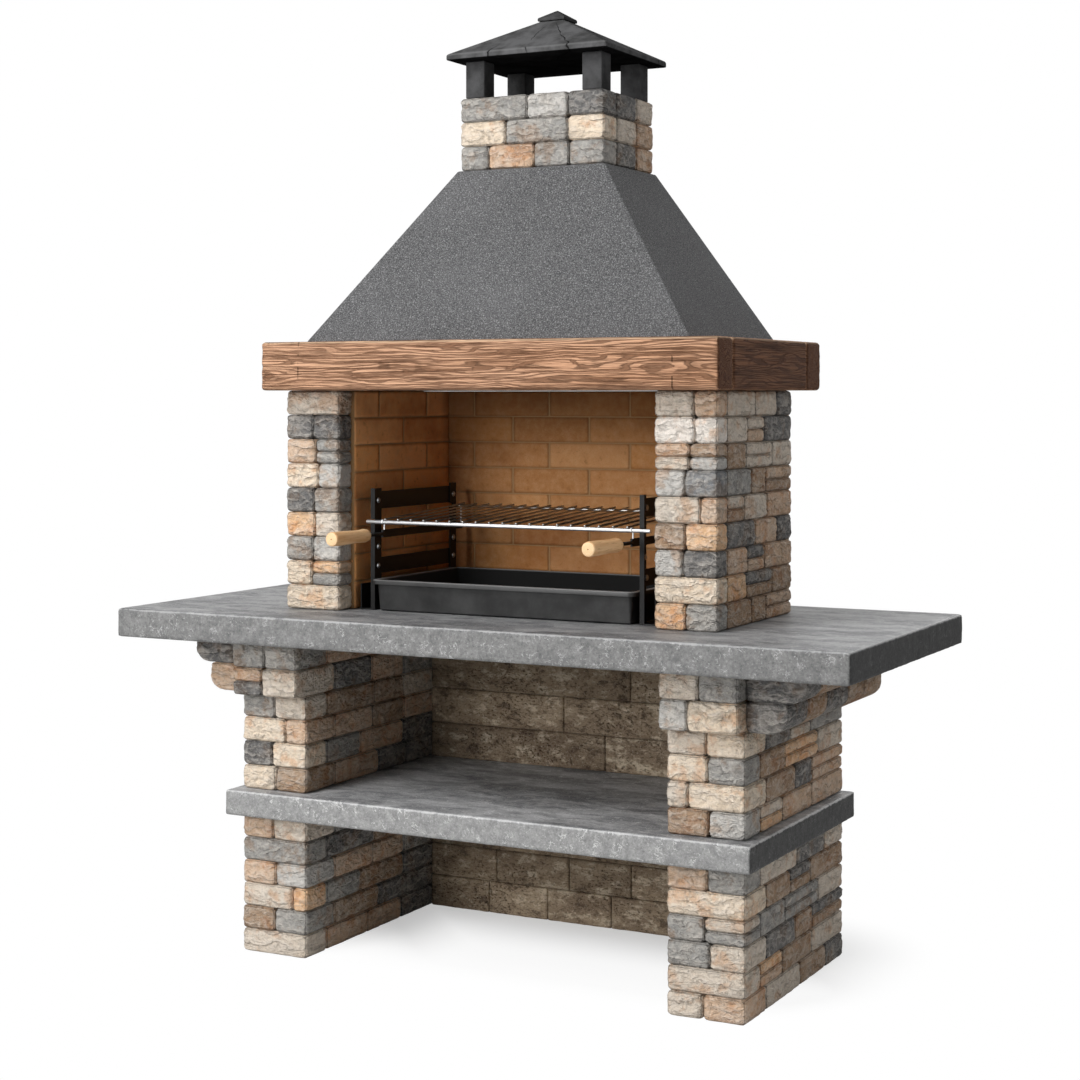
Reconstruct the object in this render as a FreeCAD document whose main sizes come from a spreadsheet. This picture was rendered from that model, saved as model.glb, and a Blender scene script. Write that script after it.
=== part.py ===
import FreeCAD, Part
import os
import re

# Masonry barbecue: coursed stone legs and pillars, slabs, firebrick hearth, timber ring, hood and chimney,
# with a steel rack that carries a lift-out cooking grate over a charcoal tray.
# Millimetres. X runs to the right, the front looks along -Y, Z is up from the ground.
SIZES = {
    # joints and dressing of the stonework
    "bed_gap": 0.3,
    "head_gap": 2.0,
    "stone_arris": 6.0,
    # worktop and shelf slabs
    "worktop_width": 1933.0,
    "worktop_depth": 849.0,
    "worktop_top": 860.0,
    "worktop_thick": 72.0,
    "shelf_width": 1409.0,
    "shelf_front": 327.0,
    "shelf_back": 381.5,
    "shelf_top": 409.0,
    "shelf_thick": 64.0,
    "slab_arris": 5.0,
    # legs and corbels
    "leg_inner": 487.5,
    "leg_width": 190.0,
    "leg_front": 289.0,
    "leg_back": 367.0,
    "corner_long": 132.0,
    "corner_short": 96.0,
    "corbel_course": 69.0,
    "corbel_forward": 46.0,
    "upper_wing": 147.0,
    "lower_wing": 104.0,
    "wing_round": 45.0,
    # back panels of the base
    "panel_thick": 45.0,
    "panel_groove": 6.0,
    # pillars and hearth
    "pillar_inner": 429.5,
    "pillar_width": 157.5,
    "pillar_front": 229.0,
    "pillar_back": 248.5,
    "hearth_height": 549.0,
    "face_stone_depth": 63.0,
    "lining_proud": 6.0,
    "lining_thick": 30.0,
    "hearth_back": 310.0,
    "rear_wall_half": 535.0,
    "brick_course": 68.6,
    # timber ring
    "beam_half": 617.5,
    "beam_front": 298.0,
    "beam_back": 374.0,
    "beam_height": 120.5,
    "front_beam_thick": 92.0,
    "rear_beam_thick": 100.0,
    "side_beam_thick": 135.0,
    "beam_arris": 7.0,
    # hood and chimney
    "hood_half": 522.5,
    "hood_front": 236.0,
    "hood_back": 305.0,
    "hood_height": 433.0,
    "hood_wall": 36.0,
    "hood_ledge": 5.0,
    "stack_half": 201.0,
    "stack_front": 20.0,
    "stack_back": 274.0,
    "stack_course": 61.2,
    "stack_side_wall": 70.0,
    "stack_front_wall": 78.0,
    "stack_rear_wall": 98.0,
    # chimney cap
    "post_side": 54.0,
    "post_height": 93.0,
    "post_inset": 10.0,
    "roof_half_width": 223.0,
    "roof_half_depth": 181.0,
    "roof_fascia": 14.5,
    "roof_rise": 91.0,
    "finial_half": 38.0,
    "finial_fascia": 8.0,
    "finial_rise": 22.0,
    "finial_tip": 2.0,
    "finial_overhang": 5.0,
    # steel rack
    "web_inner": 364.0,
    "angle_thick": 3.0,
    "angle_web": 32.0,
    "angle_flange": 12.0,
    "rack_front": 165.0,
    "rack_back": 243.0,
    "rack_height": 304.0,
    "rail_thick": 4.0,
    "upper_rail_mid": 274.0,
    "upper_rail_deep": 44.0,
    "lower_rail_mid": 110.0,
    "lower_rail_deep": 40.0,
    "spare_bolt_height": 158.0,
    "base_thick": 3.0,
    "base_foot": 42.0,
    "base_plate": 64.0,
    "bolt_radius": 4.0,
    "bolt_head_radius": 7.0,
    "bolt_head_height": 4.5,
    "nut_radius": 7.5,
    "nut_height": 6.0,
    # cooking grate with its handles
    "grate_height": 220.0,
    "grate_tilt_rise": 22.0,
    "front_rod_radius": 5.0,
    "front_rod_past": 24.0,
    "rear_rod_radius": 4.0,
    "rear_rod_inset": 16.0,
    "bar_radius": 2.5,
    "bar_pitch": 37.0,
    "bar_overhang": 8.0,
    "lift_angle": 18.0,
    "arm_side": 340.0,
    "arm_thick": 5.0,
    "arm_deep": 19.0,
    "arm_height": 191.5,
    "arm_past_rod": 12.0,
    "tang_radius": 4.5,
    "tang_in_grip": 70.0,
    "grip_radius": 17.5,
    "grip_neck": 15.4,
    "grip_neck_length": 6.0,
    "grip_swell_length": 32.0,
    "grip_round": 5.0,
    "grip_length": 160.0,
    "grip_front": 395.0,
    "grip_edge": 2.5,
    "hook_thick": 2.5,
    # charcoal tray
    "tray_half": 352.0,
    "tray_front": 180.0,
    "tray_back": 230.0,
    "tray_height": 78.0,
    "tray_draft": 6.0,
    "tray_wall": 2.0,
    "tray_rim": 10.0,
    "tray_lip": 11.0,
}

BAR_COUNT = 19
# Round forms are drawn with few sides, which keeps the model light
SMALL_SIDES = 8
GRIP_SIDES = 16
ROUND_SIDES = 20

# Stone lengths along each course as shares of the run, from the left (fronts) or the front (flanks).
# The courses are listed from the bottom up. A share with = is laid as two thin stones, one on the other.
LOWER_LEG_FACE = {
    "left": ("100", "50 50", "78 22", "52 48", "100", "48 52"),
    "right": ("46 54", "100", "55 45", "48 52=", "100", "52 48"),
}
UPPER_LEG_FACE = {
    "left": ("52 48", "46 54", "67 33", "50 50"),
    "right": ("54 46", "27 73", "52 48", "50 50"),
}
CORBEL_FACE = {
    "left": ("46= 54", "50 50"),
    "right": ("36 64", "50 50"),
}
PILLAR_FACE = {
    "left": ("100", "48 52=", "50 50", "54 46", "52 48", "60 40", "55 45=", "50 50", "100"),
    "right": ("49 51", "100", "45 55", "49 51", "72 28", "48 52", "55= 45=", "63 37", "62 38"),
}
FLANK_BOND = ("30 26= 44", "42 34 24", "25= 35 40", "36 22 42=", "28 40= 32")
HIDDEN_BOND = ("34 30 36", "40 26 34", "28 38 34")
WING_BOND = ("24 28 22 26", "28 23 27 22")
STACK_FACE = ("20 32 24 24", "32 43 25", "47 28 25")
STACK_REAR = ("38 30 32", "26 40 34", "33 42 25")

# Places worked out from the driving sizes
SHELF_UNDER = "(shelf_top - shelf_thick)"
WORKTOP_UNDER = "(worktop_top - worktop_thick)"
CORBEL_FOOT = f"({WORKTOP_UNDER} - 2 * corbel_course)"
LEG_OUTER = "(leg_inner + leg_width)"
LEG_MIDDLE = "(leg_inner + leg_width / 2)"
LINING_INNER = "(pillar_inner - lining_proud)"
LINING_OUTER = f"({LINING_INNER} + lining_thick)"
LINING_FRONT = "(face_stone_depth - pillar_front + bed_gap)"
PILLAR_OUTER = "(pillar_inner + pillar_width)"
BEAM_UNDER = "(worktop_top + hearth_height)"
BEAM_TOP = f"({BEAM_UNDER} + beam_height)"
HOOD_TOP = f"({BEAM_TOP} + bed_gap + hood_height)"
STACK_FOOT = f"({HOOD_TOP} + bed_gap)"
STACK_TOP = f"({STACK_FOOT} + {len(STACK_FACE)} * stack_course)"
ROOF_UNDER = f"({STACK_TOP} + post_height + bed_gap)"
ROOF_TOP = f"({ROOF_UNDER} + roof_fascia + roof_rise)"
STACK_MIDDLE = "((stack_back - stack_front) / 2)"
WEB_OUTER = "(web_inner + angle_thick)"
RAIL_INNER = f"({WEB_OUTER} + bed_gap)"
RAIL_OUTER = f"({RAIL_INNER} + rail_thick)"
RACK_FOOT = "(worktop_top + bed_gap + base_thick + bed_gap)"
RACK_TOP = "(worktop_top + rack_height)"
FRONT_ROD_Y = "(front_rod_radius - rack_front)"
FRONT_ROD_Z = "(worktop_top + grate_height)"
REAR_ROD_Y = "(rack_back - rear_rod_inset)"
REAR_ROD_Z = f"({FRONT_ROD_Z} + grate_tilt_rise)"
ARM_MIDDLE = "(worktop_top + arm_height)"
TRAY_FOOT = "(worktop_top + bed_gap)"
TRAY_TOP = f"({TRAY_FOOT} + tray_height)"

SIDES = ("left", "right")

doc = FreeCAD.newDocument("masonry_barbecue")
sheet = doc.addObject("Spreadsheet::Sheet", "Sizes")
for row, (alias, value) in enumerate(SIZES.items(), start=1):
    sheet.set(f"A{row}", alias)
    sheet.set(f"B{row}", str(value))
    sheet.setAlias(f"B{row}", alias)
doc.recompute()

nodes = []


def size(alias):
    """A driving size as the sheet holds it."""
    return float(sheet.get(alias))


def ref(text):
    """Turn the size names in an expression into references to the sheet."""
    def cell(word):
        return "Sizes." + word.group() if word.group() in SIZES else word.group()
    return re.sub(r"[a-z_]+", cell, text)


def bind(thing, **expressions):
    """Drive properties of an object by expressions on the sheet; __ stands for a dot in a property's path."""
    for path, text in expressions.items():
        thing.setExpression(path.replace("__", "."), ref(text))
    return thing


def node(thing, label):
    """Keep an object as a sub-part under its own label."""
    thing.Label = label
    nodes.append(thing)
    return thing


def on_side(side, near, far):
    """X span on one side of the middle plane, from its near edge to its far edge."""
    return (near, far) if side == "right" else (f"-({far})", f"-({near})")


def block(name, x, y, z):
    """A box between two places on each axis."""
    box = doc.addObject("Part::Box", name)
    for length, place, (low, high) in zip(("Length", "Width", "Height"), "xyz", (x, y, z)):
        bind(box, **{f"Placement__Base__{place}": low, length: f"({high}) - ({low})"})
    return box


def turned(axis):
    """A placement that turns a form's own Z onto an axis."""
    turns = {"x": (FreeCAD.Vector(0, 1, 0), 90), "y": (FreeCAD.Vector(1, 0, 0), -90)}
    return FreeCAD.Placement(FreeCAD.Vector(), FreeCAD.Rotation(*turns[axis]))


def stand_at(thing, x, y, z):
    """Drive the place of an object."""
    return bind(thing, Placement__Base__x=x, Placement__Base__y=y, Placement__Base__z=z)


def rod(name, axis, radius, start, length):
    """A round bar along an axis from a start point."""
    bar = doc.addObject("Part::Cylinder", name)
    bar.Placement = turned(axis)
    return stand_at(bind(bar, Radius=radius, Height=length), *start)


def prism(name, axis, sides, radius, start, length):
    """A bar with a few flat sides along an axis from a start point."""
    bar = doc.addObject("Part::Prism", name)
    bar.Polygon = sides
    bar.Placement = turned(axis)
    return stand_at(bind(bar, Circumradius=radius, Height=length), *start)


def frustum(name, z, base, head):
    """A four-sided frustum between two levels; base and head are X and Y spans."""
    wedge = doc.addObject("Part::Wedge", name)
    # the wedge rises along its own Y, and its own Z runs to the front once it stands up
    wedge.Placement = FreeCAD.Placement(FreeCAD.Vector(), FreeCAD.Rotation(FreeCAD.Vector(1, 0, 0), 90))
    (base_x, base_y), (head_x, head_y) = base, head
    bind(wedge, Ymin=z[0], Ymax=z[1], Xmin=base_x[0], Xmax=base_x[1], X2min=head_x[0], X2max=head_x[1])
    bind(wedge, Zmin=f"-({base_y[1]})", Zmax=f"-({base_y[0]})")
    return bind(wedge, Z2min=f"-({head_y[1]})", Z2max=f"-({head_y[0]})")


def gather(name, pieces):
    """A group of separate solids."""
    group = doc.addObject("Part::Compound", name)
    group.Links = pieces
    return group


def fuse(name, *pieces):
    """Several solids made one."""
    joined = doc.addObject("Part::MultiFuse", name)
    joined.Shapes = list(pieces)
    joined.Refine = True
    return joined


def cut(name, base, tool):
    """One solid less another."""
    rest = doc.addObject("Part::Cut", name)
    rest.Base = base
    rest.Tool = tool
    rest.Refine = True
    return rest


def edges_on(shape, planes):
    """Numbers of the edges that lie in any of the planes, each an axis number and a place."""
    def lies_in(edge, axis, place):
        return all(abs(vertex.Point[axis] - place) < 0.001 for vertex in edge.Vertexes)
    return [number for number, edge in enumerate(shape.Edges, start=1)
            if any(lies_in(edge, axis, place) for axis, place in planes)]


def worked_out(text):
    """The number that an expression on the sheet comes to."""
    return float(sheet.evalExpression(ref(text)))


def ease_edges(name, base, arris, planes, away=False):
    """Take the sharp edge off the edges that lie in the given planes, or off all others."""
    doc.recompute()
    eased = doc.addObject("Part::Chamfer", name)
    eased.Base = base
    chosen = edges_on(base.Shape, [(axis, worked_out(place)) for axis, place in planes])
    if away:
        chosen = [number for number in range(1, len(base.Shape.Edges) + 1) if number not in chosen]
    eased.Edges = [(number, size(arris), size(arris)) for number in chosen]
    return eased


def lay_course(name, shares, axis, x, y, z):
    """Stones laid end to end along one axis with open head joints."""
    spans = {"x": x, "y": y, "z": z}
    low, high = spans[axis]
    run = f"(({high}) - ({low}) + head_gap)"
    words = shares.split()
    lengths = [float(word.strip("=")) for word in words]
    stones = []
    for number, word in enumerate(words):
        begin = sum(lengths[:number]) / sum(lengths)
        end = sum(lengths[:number + 1]) / sum(lengths)
        place = dict(spans)
        place[axis] = (f"{low} + {run} * {begin:.4f}", f"{low} + {run} * {end:.4f} - head_gap")
        middle = f"(({z[0]}) + ({z[1]})) / 2"
        rows = [(z[0], f"{middle} - bed_gap"), (middle, z[1])] if word.endswith("=") else [z]
        for rank, row_z in enumerate(rows):
            stones.append(block(f"{name}_{number}_{rank}", place["x"], place["y"], row_z))
    return stones


def course_span(foot, pitch, number):
    """Height span of one course, a bed joint short of the next."""
    return f"{foot} + {number} * {pitch}", f"{foot} + {number + 1} * {pitch} - bed_gap"


# Stone legs, in two lifts with the shelf slab between them

def leg_lift(label, side, faces, foot, height, first):
    """One lift of a leg: face stones at the front and two rows of stones behind them."""
    pitch = f"({height}) / {len(faces)}"
    stones = []
    for number, face in enumerate(faces):
        z = course_span(foot, pitch, number)
        corner = "corner_long" if (number + first) % 2 else "corner_short"
        behind = f"{corner} - leg_front + head_gap"
        flank = FLANK_BOND[(number + first) % len(FLANK_BOND)]
        inside = HIDDEN_BOND[(number + first) % len(HIDDEN_BOND)]
        name = f"{label}_{number}"
        stones += lay_course(name + "_face", face, "x", on_side(side, "leg_inner", LEG_OUTER),
                             ("-leg_front", f"{corner} - leg_front"), z)
        stones += lay_course(name + "_flank", flank, "y",
                             on_side(side, f"{LEG_MIDDLE} + bed_gap", LEG_OUTER), (behind, "leg_back"), z)
        stones += lay_course(name + "_inside", inside, "y", on_side(side, "leg_inner", LEG_MIDDLE),
                             (behind, "leg_back"), z)
    return gather(label + "_laid", stones)


LEG_PLANES = ((0, "leg_inner"), (0, "-leg_inner"), (0, LEG_OUTER), (0, f"-{LEG_OUTER}"), (1, "-leg_front"))
for shift, side in enumerate(SIDES):
    lower = leg_lift(f"{side}_leg_lower_stones", side, LOWER_LEG_FACE[side], "0", SHELF_UNDER, shift)
    node(ease_edges(f"{side}_leg_lower_eased", lower, "stone_arris", LEG_PLANES), f"{side}_leg_lower_stones")
    upper = leg_lift(f"{side}_leg_upper_stones", side, UPPER_LEG_FACE[side], "shelf_top",
                     f"{CORBEL_FOOT} - shelf_top", shift + 1)
    node(ease_edges(f"{side}_leg_upper_eased", upper, "stone_arris", LEG_PLANES), f"{side}_leg_upper_stones")

# Corbels: two taller courses that step forward and reach out sideways with rounded lower edges


def corbel(side):
    """The two corbel courses of one leg."""
    stones, rounds = [], []
    for number, (face, wing) in enumerate(zip(CORBEL_FACE[side], ("lower_wing", "upper_wing"))):
        z = course_span(CORBEL_FOOT, "corbel_course", number)
        reach = f"({LEG_OUTER} + {wing})"
        corner = "corner_short" if number else "corner_long"
        behind = f"{corner} - leg_front + head_gap"
        front_end = ("-leg_front", f"{corner} - leg_front")
        name = f"{side}_corbel_{number}"
        stones += lay_course(name + "_face", face, "x", on_side(side, "leg_inner", LEG_OUTER),
                             ("-leg_front - corbel_forward", f"{corner} - leg_front"), z)
        stones += lay_course(name + "_wing_end", "100", "x", on_side(side, f"{LEG_OUTER} + bed_gap", reach),
                             front_end, z)
        stones += lay_course(name + "_wing", WING_BOND[number], "y",
                             on_side(side, f"{LEG_MIDDLE} + bed_gap", reach), (behind, "leg_back"), z)
        stones += lay_course(name + "_inside", HIDDEN_BOND[number], "y",
                             on_side(side, "leg_inner", LEG_MIDDLE), (behind, "leg_back"), z)
        start = ("-leg_front - wing_round", "leg_back + wing_round")
        x = on_side(side, f"{reach} - wing_round", f"{reach} + wing_round")
        corner_block = block(name + "_corner", x, start, (f"{z[0]} - wing_round", f"{z[0]} + wing_round"))
        centre_x = on_side(side, f"{reach} - wing_round", reach)[0 if side == "right" else 1]
        swell = prism(name + "_swell", "y", ROUND_SIDES, "wing_round",
                      (centre_x, start[0], f"{z[0]} + wing_round"), "leg_front + leg_back + 2 * wing_round")
        rounds.append(cut(name + "_round", corner_block, swell))
    planes = [(0, "leg_inner"), (0, "-leg_inner"), (1, "-leg_front"), (1, "-leg_front - corbel_forward")]
    eased = ease_edges(f"{side}_corbel_eased", gather(f"{side}_corbel_laid", stones), "stone_arris", planes)
    return cut(f"{side}_corbel_rounded", eased, gather(f"{side}_corbel_rounds", rounds))


for side in SIDES:
    node(corbel(side), f"{side}_corbel_stones")

# Slabs: the shelf passes through the legs, the worktop lies on the corbels


def slab(label, x, y, z):
    """A flat slab with eased edges."""
    planes = [(2, z[0]), (2, z[1]), (0, x[0]), (0, x[1])]
    return node(ease_edges(label + "_eased", block(label + "_body", x, y, z), "slab_arris", planes), label)


slab("shelf_slab", ("-shelf_width / 2", "shelf_width / 2"), ("-shelf_front", "shelf_back"),
     (SHELF_UNDER, "shelf_top - bed_gap"))
slab("worktop_slab", ("-worktop_width / 2", "worktop_width / 2"), ("-worktop_depth / 2", "worktop_depth / 2"),
     (WORKTOP_UNDER, "worktop_top"))

# Cast back panels between the legs, each with level grooves that carry the coursing across


def back_panel(label, foot, head, bands):
    """A panel between the legs with grooves across its inner face."""
    x = ("bed_gap - leg_inner", "leg_inner - bed_gap")
    inner_y = "leg_back - panel_thick"
    plate = block(label + "_plate", x, (inner_y, "leg_back"), (foot, f"{head} - bed_gap"))
    grooves = []
    for number in range(1, bands):
        level = f"({foot} + (({head}) - ({foot})) * {number} / {bands})"
        grooves.append(block(f"{label}_groove_{number}", (f"{x[0]} - panel_groove", f"{x[1]} + panel_groove"),
                             (f"{inner_y} - panel_groove", f"{inner_y} + panel_groove"),
                             (f"{level} - panel_groove / 2", f"{level} + panel_groove / 2")))
    return node(cut(label + "_grooved", plate, gather(label + "_grooves", grooves)), label)


back_panel("lower_back_panel", "0", SHELF_UNDER, 4)
back_panel("upper_back_panel", "shelf_top", WORKTOP_UNDER, 4)

# Pillars: face stones the full width of the pillar, with one row of stones beside the lining behind them


def pillar(side, shift):
    """One pillar beside the hearth."""
    faces = PILLAR_FACE[side]
    stones = []
    for number, face in enumerate(faces):
        z = course_span("worktop_top + bed_gap", f"(hearth_height - bed_gap) / {len(faces)}", number)
        flank = FLANK_BOND[(number + shift) % len(FLANK_BOND)]
        name = f"{side}_pillar_{number}"
        stones += lay_course(name + "_face", face, "x", on_side(side, "pillar_inner", PILLAR_OUTER),
                             ("-pillar_front", "face_stone_depth - pillar_front"), z)
        stones += lay_course(name + "_flank", flank, "y",
                             on_side(side, f"{LINING_OUTER} + bed_gap", PILLAR_OUTER),
                             (LINING_FRONT, "pillar_back"), z)
    planes = [(0, "pillar_inner"), (0, "-pillar_inner"), (0, PILLAR_OUTER), (0, f"-{PILLAR_OUTER}"),
              (1, "-pillar_front")]
    return ease_edges(f"{side}_pillar_eased", gather(f"{side}_pillar_laid", stones), "stone_arris", planes)


for shift, side in enumerate(SIDES):
    node(pillar(side, shift + 2), f"{side}_pillar_stones")

# Firebrick lining in running bond, two sides and a back, with the cast rear wall round it

brick_rows = max(1, round(size("hearth_height") / size("brick_course")))
BRICK_PITCH = f"(hearth_height - bed_gap) / {brick_rows}"


def lining(label, axis, x, y, bonds):
    """A wall of firebricks, its bond shifted from course to course."""
    bricks = []
    for number in range(brick_rows):
        z = course_span("worktop_top + bed_gap", BRICK_PITCH, number)
        bricks += lay_course(f"{label}_{number}", bonds[number % 2], axis, x, y, z)
    return node(gather(label + "_laid", bricks), label)


for side in SIDES:
    lining(f"firebrick_{side}_lining", "y", on_side(side, LINING_INNER, LINING_OUTER),
           (LINING_FRONT, "hearth_back - bed_gap"), ("50 50", "25 50 25"))
lining("firebrick_back_lining", "x", (f"-{LINING_OUTER}", LINING_OUTER),
       ("hearth_back", "hearth_back + lining_thick"), ("25 25 25 25", "12 25 26 25 12"))

hearth_span = ("worktop_top + bed_gap", f"{BEAM_UNDER} - bed_gap")
wall_outside = block("rear_wall_outside", ("-rear_wall_half", "rear_wall_half"),
                     ("pillar_back + bed_gap", "beam_back"), hearth_span)
wall_inside = block("rear_wall_inside", (f"-{LINING_OUTER} - bed_gap", f"{LINING_OUTER} + bed_gap"),
                    ("pillar_back - lining_thick", "hearth_back + lining_thick + bed_gap"),
                    ("worktop_top - bed_gap", f"{BEAM_UNDER} + bed_gap"))
node(cut("rear_wall_cast", wall_outside, wall_inside), "hearth_rear_wall")

# Timber ring: front and rear beams across the whole width, side beams between them


def beam(label, x, y, joined):
    """One beam, eased along every edge that doesn't lie in a joined face."""
    timber = block(label + "_timber", x, y, (BEAM_UNDER, BEAM_TOP))
    return node(ease_edges(label + "_eased", timber, "beam_arris", joined, away=True), label)


FRONT_BEAM_INNER = "front_beam_thick - beam_front"
REAR_BEAM_INNER = "beam_back - rear_beam_thick"
beam("front_beam", ("-beam_half", "beam_half"), ("-beam_front", FRONT_BEAM_INNER), [(1, FRONT_BEAM_INNER)])
beam("rear_beam", ("-beam_half", "beam_half"), (REAR_BEAM_INNER, "beam_back"), [(1, REAR_BEAM_INNER)])
for side in SIDES:
    beam_x = on_side(side, "beam_half - side_beam_thick", "beam_half")
    beam_y = (f"{FRONT_BEAM_INNER} + bed_gap", f"{REAR_BEAM_INNER} - bed_gap")
    inner_x = beam_x[0] if side == "right" else beam_x[1]
    beam(f"{side}_beam", beam_x, beam_y, [(0, inner_x), (1, beam_y[0]), (1, beam_y[1])])

# Hood: a hollow four-sided frustum, open below over the hearth and above into the flue

hood_base = (("-hood_half", "hood_half"), ("-hood_front", "hood_back"))
hood_head = (("-stack_half - hood_ledge", "stack_half + hood_ledge"),
             ("-stack_front - hood_ledge", "stack_back + hood_ledge"))
hollow_base = (("hood_wall - hood_half", "hood_half - hood_wall"),
               ("hood_wall - hood_front", "hood_back - hood_wall"))
flue = (("stack_side_wall - stack_half", "stack_half - stack_side_wall"),
        ("stack_front_wall - stack_front", "stack_back - stack_rear_wall"))
hood_span = (f"{BEAM_TOP} + bed_gap", HOOD_TOP)
node(cut("hood_hollowed", frustum("hood_outside", hood_span, hood_base, hood_head),
         frustum("hood_inside", hood_span, hollow_base, flue)), "hood_shell")

# Chimney stack: three courses of stone round the flue

stack_stones = []
for number, (face, rear) in enumerate(zip(STACK_FACE, STACK_REAR)):
    z = course_span(STACK_FOOT, "stack_course", number)
    stack_x = ("-stack_half", "stack_half")
    stack_stones += lay_course(f"stack_{number}_face", face, "x", stack_x,
                               ("-stack_front", "stack_front_wall - stack_front"), z)
    stack_stones += lay_course(f"stack_{number}_rear", rear, "x", stack_x,
                               ("stack_back - stack_rear_wall", "stack_back"), z)
    for side in SIDES:
        side_y = ("stack_front_wall - stack_front + head_gap", "stack_back - stack_rear_wall - head_gap")
        side_x = on_side(side, "stack_half - stack_side_wall", "stack_half")
        stack_stones.append(block(f"stack_{number}_{side}", side_x, side_y, z))
STACK_PLANES = ((0, "stack_half"), (0, "-stack_half"), (1, "-stack_front"), (1, "stack_back"))
node(ease_edges("stack_eased", gather("stack_laid", stack_stones), "stone_arris", STACK_PLANES),
     "chimney_stones")

# Chimney cap: four posts, a pyramid roof with a fascia, and a small pyramid on top

posts = []
for side in SIDES:
    post_x = on_side(side, "stack_half - post_inset - post_side", "stack_half - post_inset")
    for end, y in (("front", ("post_inset - stack_front", "post_inset + post_side - stack_front")),
                   ("rear", ("stack_back - post_inset - post_side", "stack_back - post_inset"))):
        posts.append(block(f"{end}_{side}_post", post_x, y, (STACK_TOP, f"{STACK_TOP} + post_height")))
node(gather("posts_standing", posts), "cap_posts")


def pyramid(label, foot, fascia, rise, half_width, half_depth, head_width, head_depth):
    """A low pyramid with an upright fascia, centred over the stack."""
    def about(half):
        return f"{STACK_MIDDLE} - {half}", f"{STACK_MIDDLE} + {half}"
    eave = f"{foot} + {fascia}"
    wide = ((f"-{half_width}", half_width), about(half_depth))
    narrow = ((f"-{head_width}", head_width), about(head_depth))
    edge = block(label + "_fascia", *wide, (foot, eave))
    slope = frustum(label + "_slope", (eave, f"{eave} + {rise}"), wide, narrow)
    return node(fuse(label + "_cast", edge, slope), label)


pyramid("cap_roof", ROOF_UNDER, "roof_fascia", "roof_rise", "roof_half_width", "roof_half_depth",
        "(finial_half - finial_overhang)", "(finial_half - finial_overhang)")
pyramid("cap_finial", f"{ROOF_TOP} + bed_gap", "finial_fascia", "finial_rise", "finial_half", "finial_half",
        "finial_tip", "finial_tip")

# Steel rack: notched angle uprights, side rails bolted outside their webs, and a base angle under each side

BOLT_LEVELS = ("lower_rail_mid", "spare_bolt_height", "upper_rail_mid")
HOLE_RADIUS = "bolt_radius + bed_gap"


def bolt_y(end):
    """Where the bolts of an upright stand, at the middle of its web."""
    return "(angle_web / 2 - rack_front)" if end == "front" else "(rack_back - angle_web / 2)"


def holes(name, side, end, levels):
    """Cutters for the bolts of one upright."""
    start = on_side(side, "web_inner - bolt_head_radius", f"{RAIL_OUTER} + bolt_head_radius")[0]
    through = f"{RAIL_OUTER} - web_inner + 2 * bolt_head_radius"
    return [prism(f"{name}_hole_{number}", "x", SMALL_SIDES, HOLE_RADIUS,
                  (start, bolt_y(end), f"worktop_top + {level}"), through)
            for number, level in enumerate(levels)]


def notch(name, side, y, z, radius, reach):
    """A slot for a rod end: a round seat with a way out that rises to the front."""
    room = f"({radius} + bed_gap)"
    x = on_side(side, "web_inner - angle_flange", "web_inner + 2 * angle_flange")
    through = "3 * angle_flange"
    seat = rod(name + "_seat", "x", room, (x[0], y, z), through)
    way = doc.addObject("Part::Box", name + "_way")
    way.Placement = FreeCAD.Placement(FreeCAD.Vector(), FreeCAD.Rotation(FreeCAD.Vector(1, 0, 0), 0))
    bind(way, Length=through, Width=reach, Height=f"2 * {room}", Placement__Rotation__Angle="-lift_angle")
    slope = "(lift_angle * 1 deg)"
    bind(way, Placement__Base__x=x[0],
         Placement__Base__y=f"{y} - {reach} * cos{slope} - {room} * sin{slope}",
         Placement__Base__z=f"{z} + {reach} * sin{slope} - {room} * cos{slope}")
    return [seat, way]


def upright(side, end):
    """An angle-iron post with bolt holes and the notch for a rod of the grate."""
    name = f"{side}_{end}_upright"
    z = (RACK_FOOT, RACK_TOP)
    if end == "front":
        web_y = ("-rack_front", "angle_web - rack_front")
        flange_y = ("-rack_front", "angle_thick - rack_front")
        slot = notch(name, side, FRONT_ROD_Y, FRONT_ROD_Z, "front_rod_radius", "2 * angle_web")
    else:
        web_y = ("rack_back - angle_web", "rack_back")
        flange_y = ("rack_back - angle_thick", "rack_back")
        slot = notch(name, side, REAR_ROD_Y, REAR_ROD_Z, "rear_rod_radius", "2 * angle_web")
    web = block(name + "_web", on_side(side, "web_inner", WEB_OUTER), web_y, z)
    flange = block(name + "_flange", on_side(side, "web_inner", "web_inner + angle_flange"), flange_y, z)
    cutters = gather(name + "_cutters", slot + holes(name, side, end, BOLT_LEVELS))
    return node(cut(name + "_drilled", fuse(name + "_angle", web, flange), cutters), name)


def rail(side, level):
    """A flat bar on the outer side of the two webs."""
    name = f"{side}_{level}_rail"
    middle = f"worktop_top + {level}_rail_mid"
    bar = block(name + "_bar", on_side(side, RAIL_INNER, RAIL_OUTER),
                ("angle_thick + bed_gap - rack_front", "rack_back - angle_thick - bed_gap"),
                (f"{middle} - {level}_rail_deep / 2", f"{middle} + {level}_rail_deep / 2"))
    cutters = []
    for end in ("front", "rear"):
        cutters += holes(f"{name}_{end}", side, end, (f"{level}_rail_mid",))
    return node(cut(name + "_drilled", bar, gather(name + "_cutters", cutters)), name)


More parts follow.
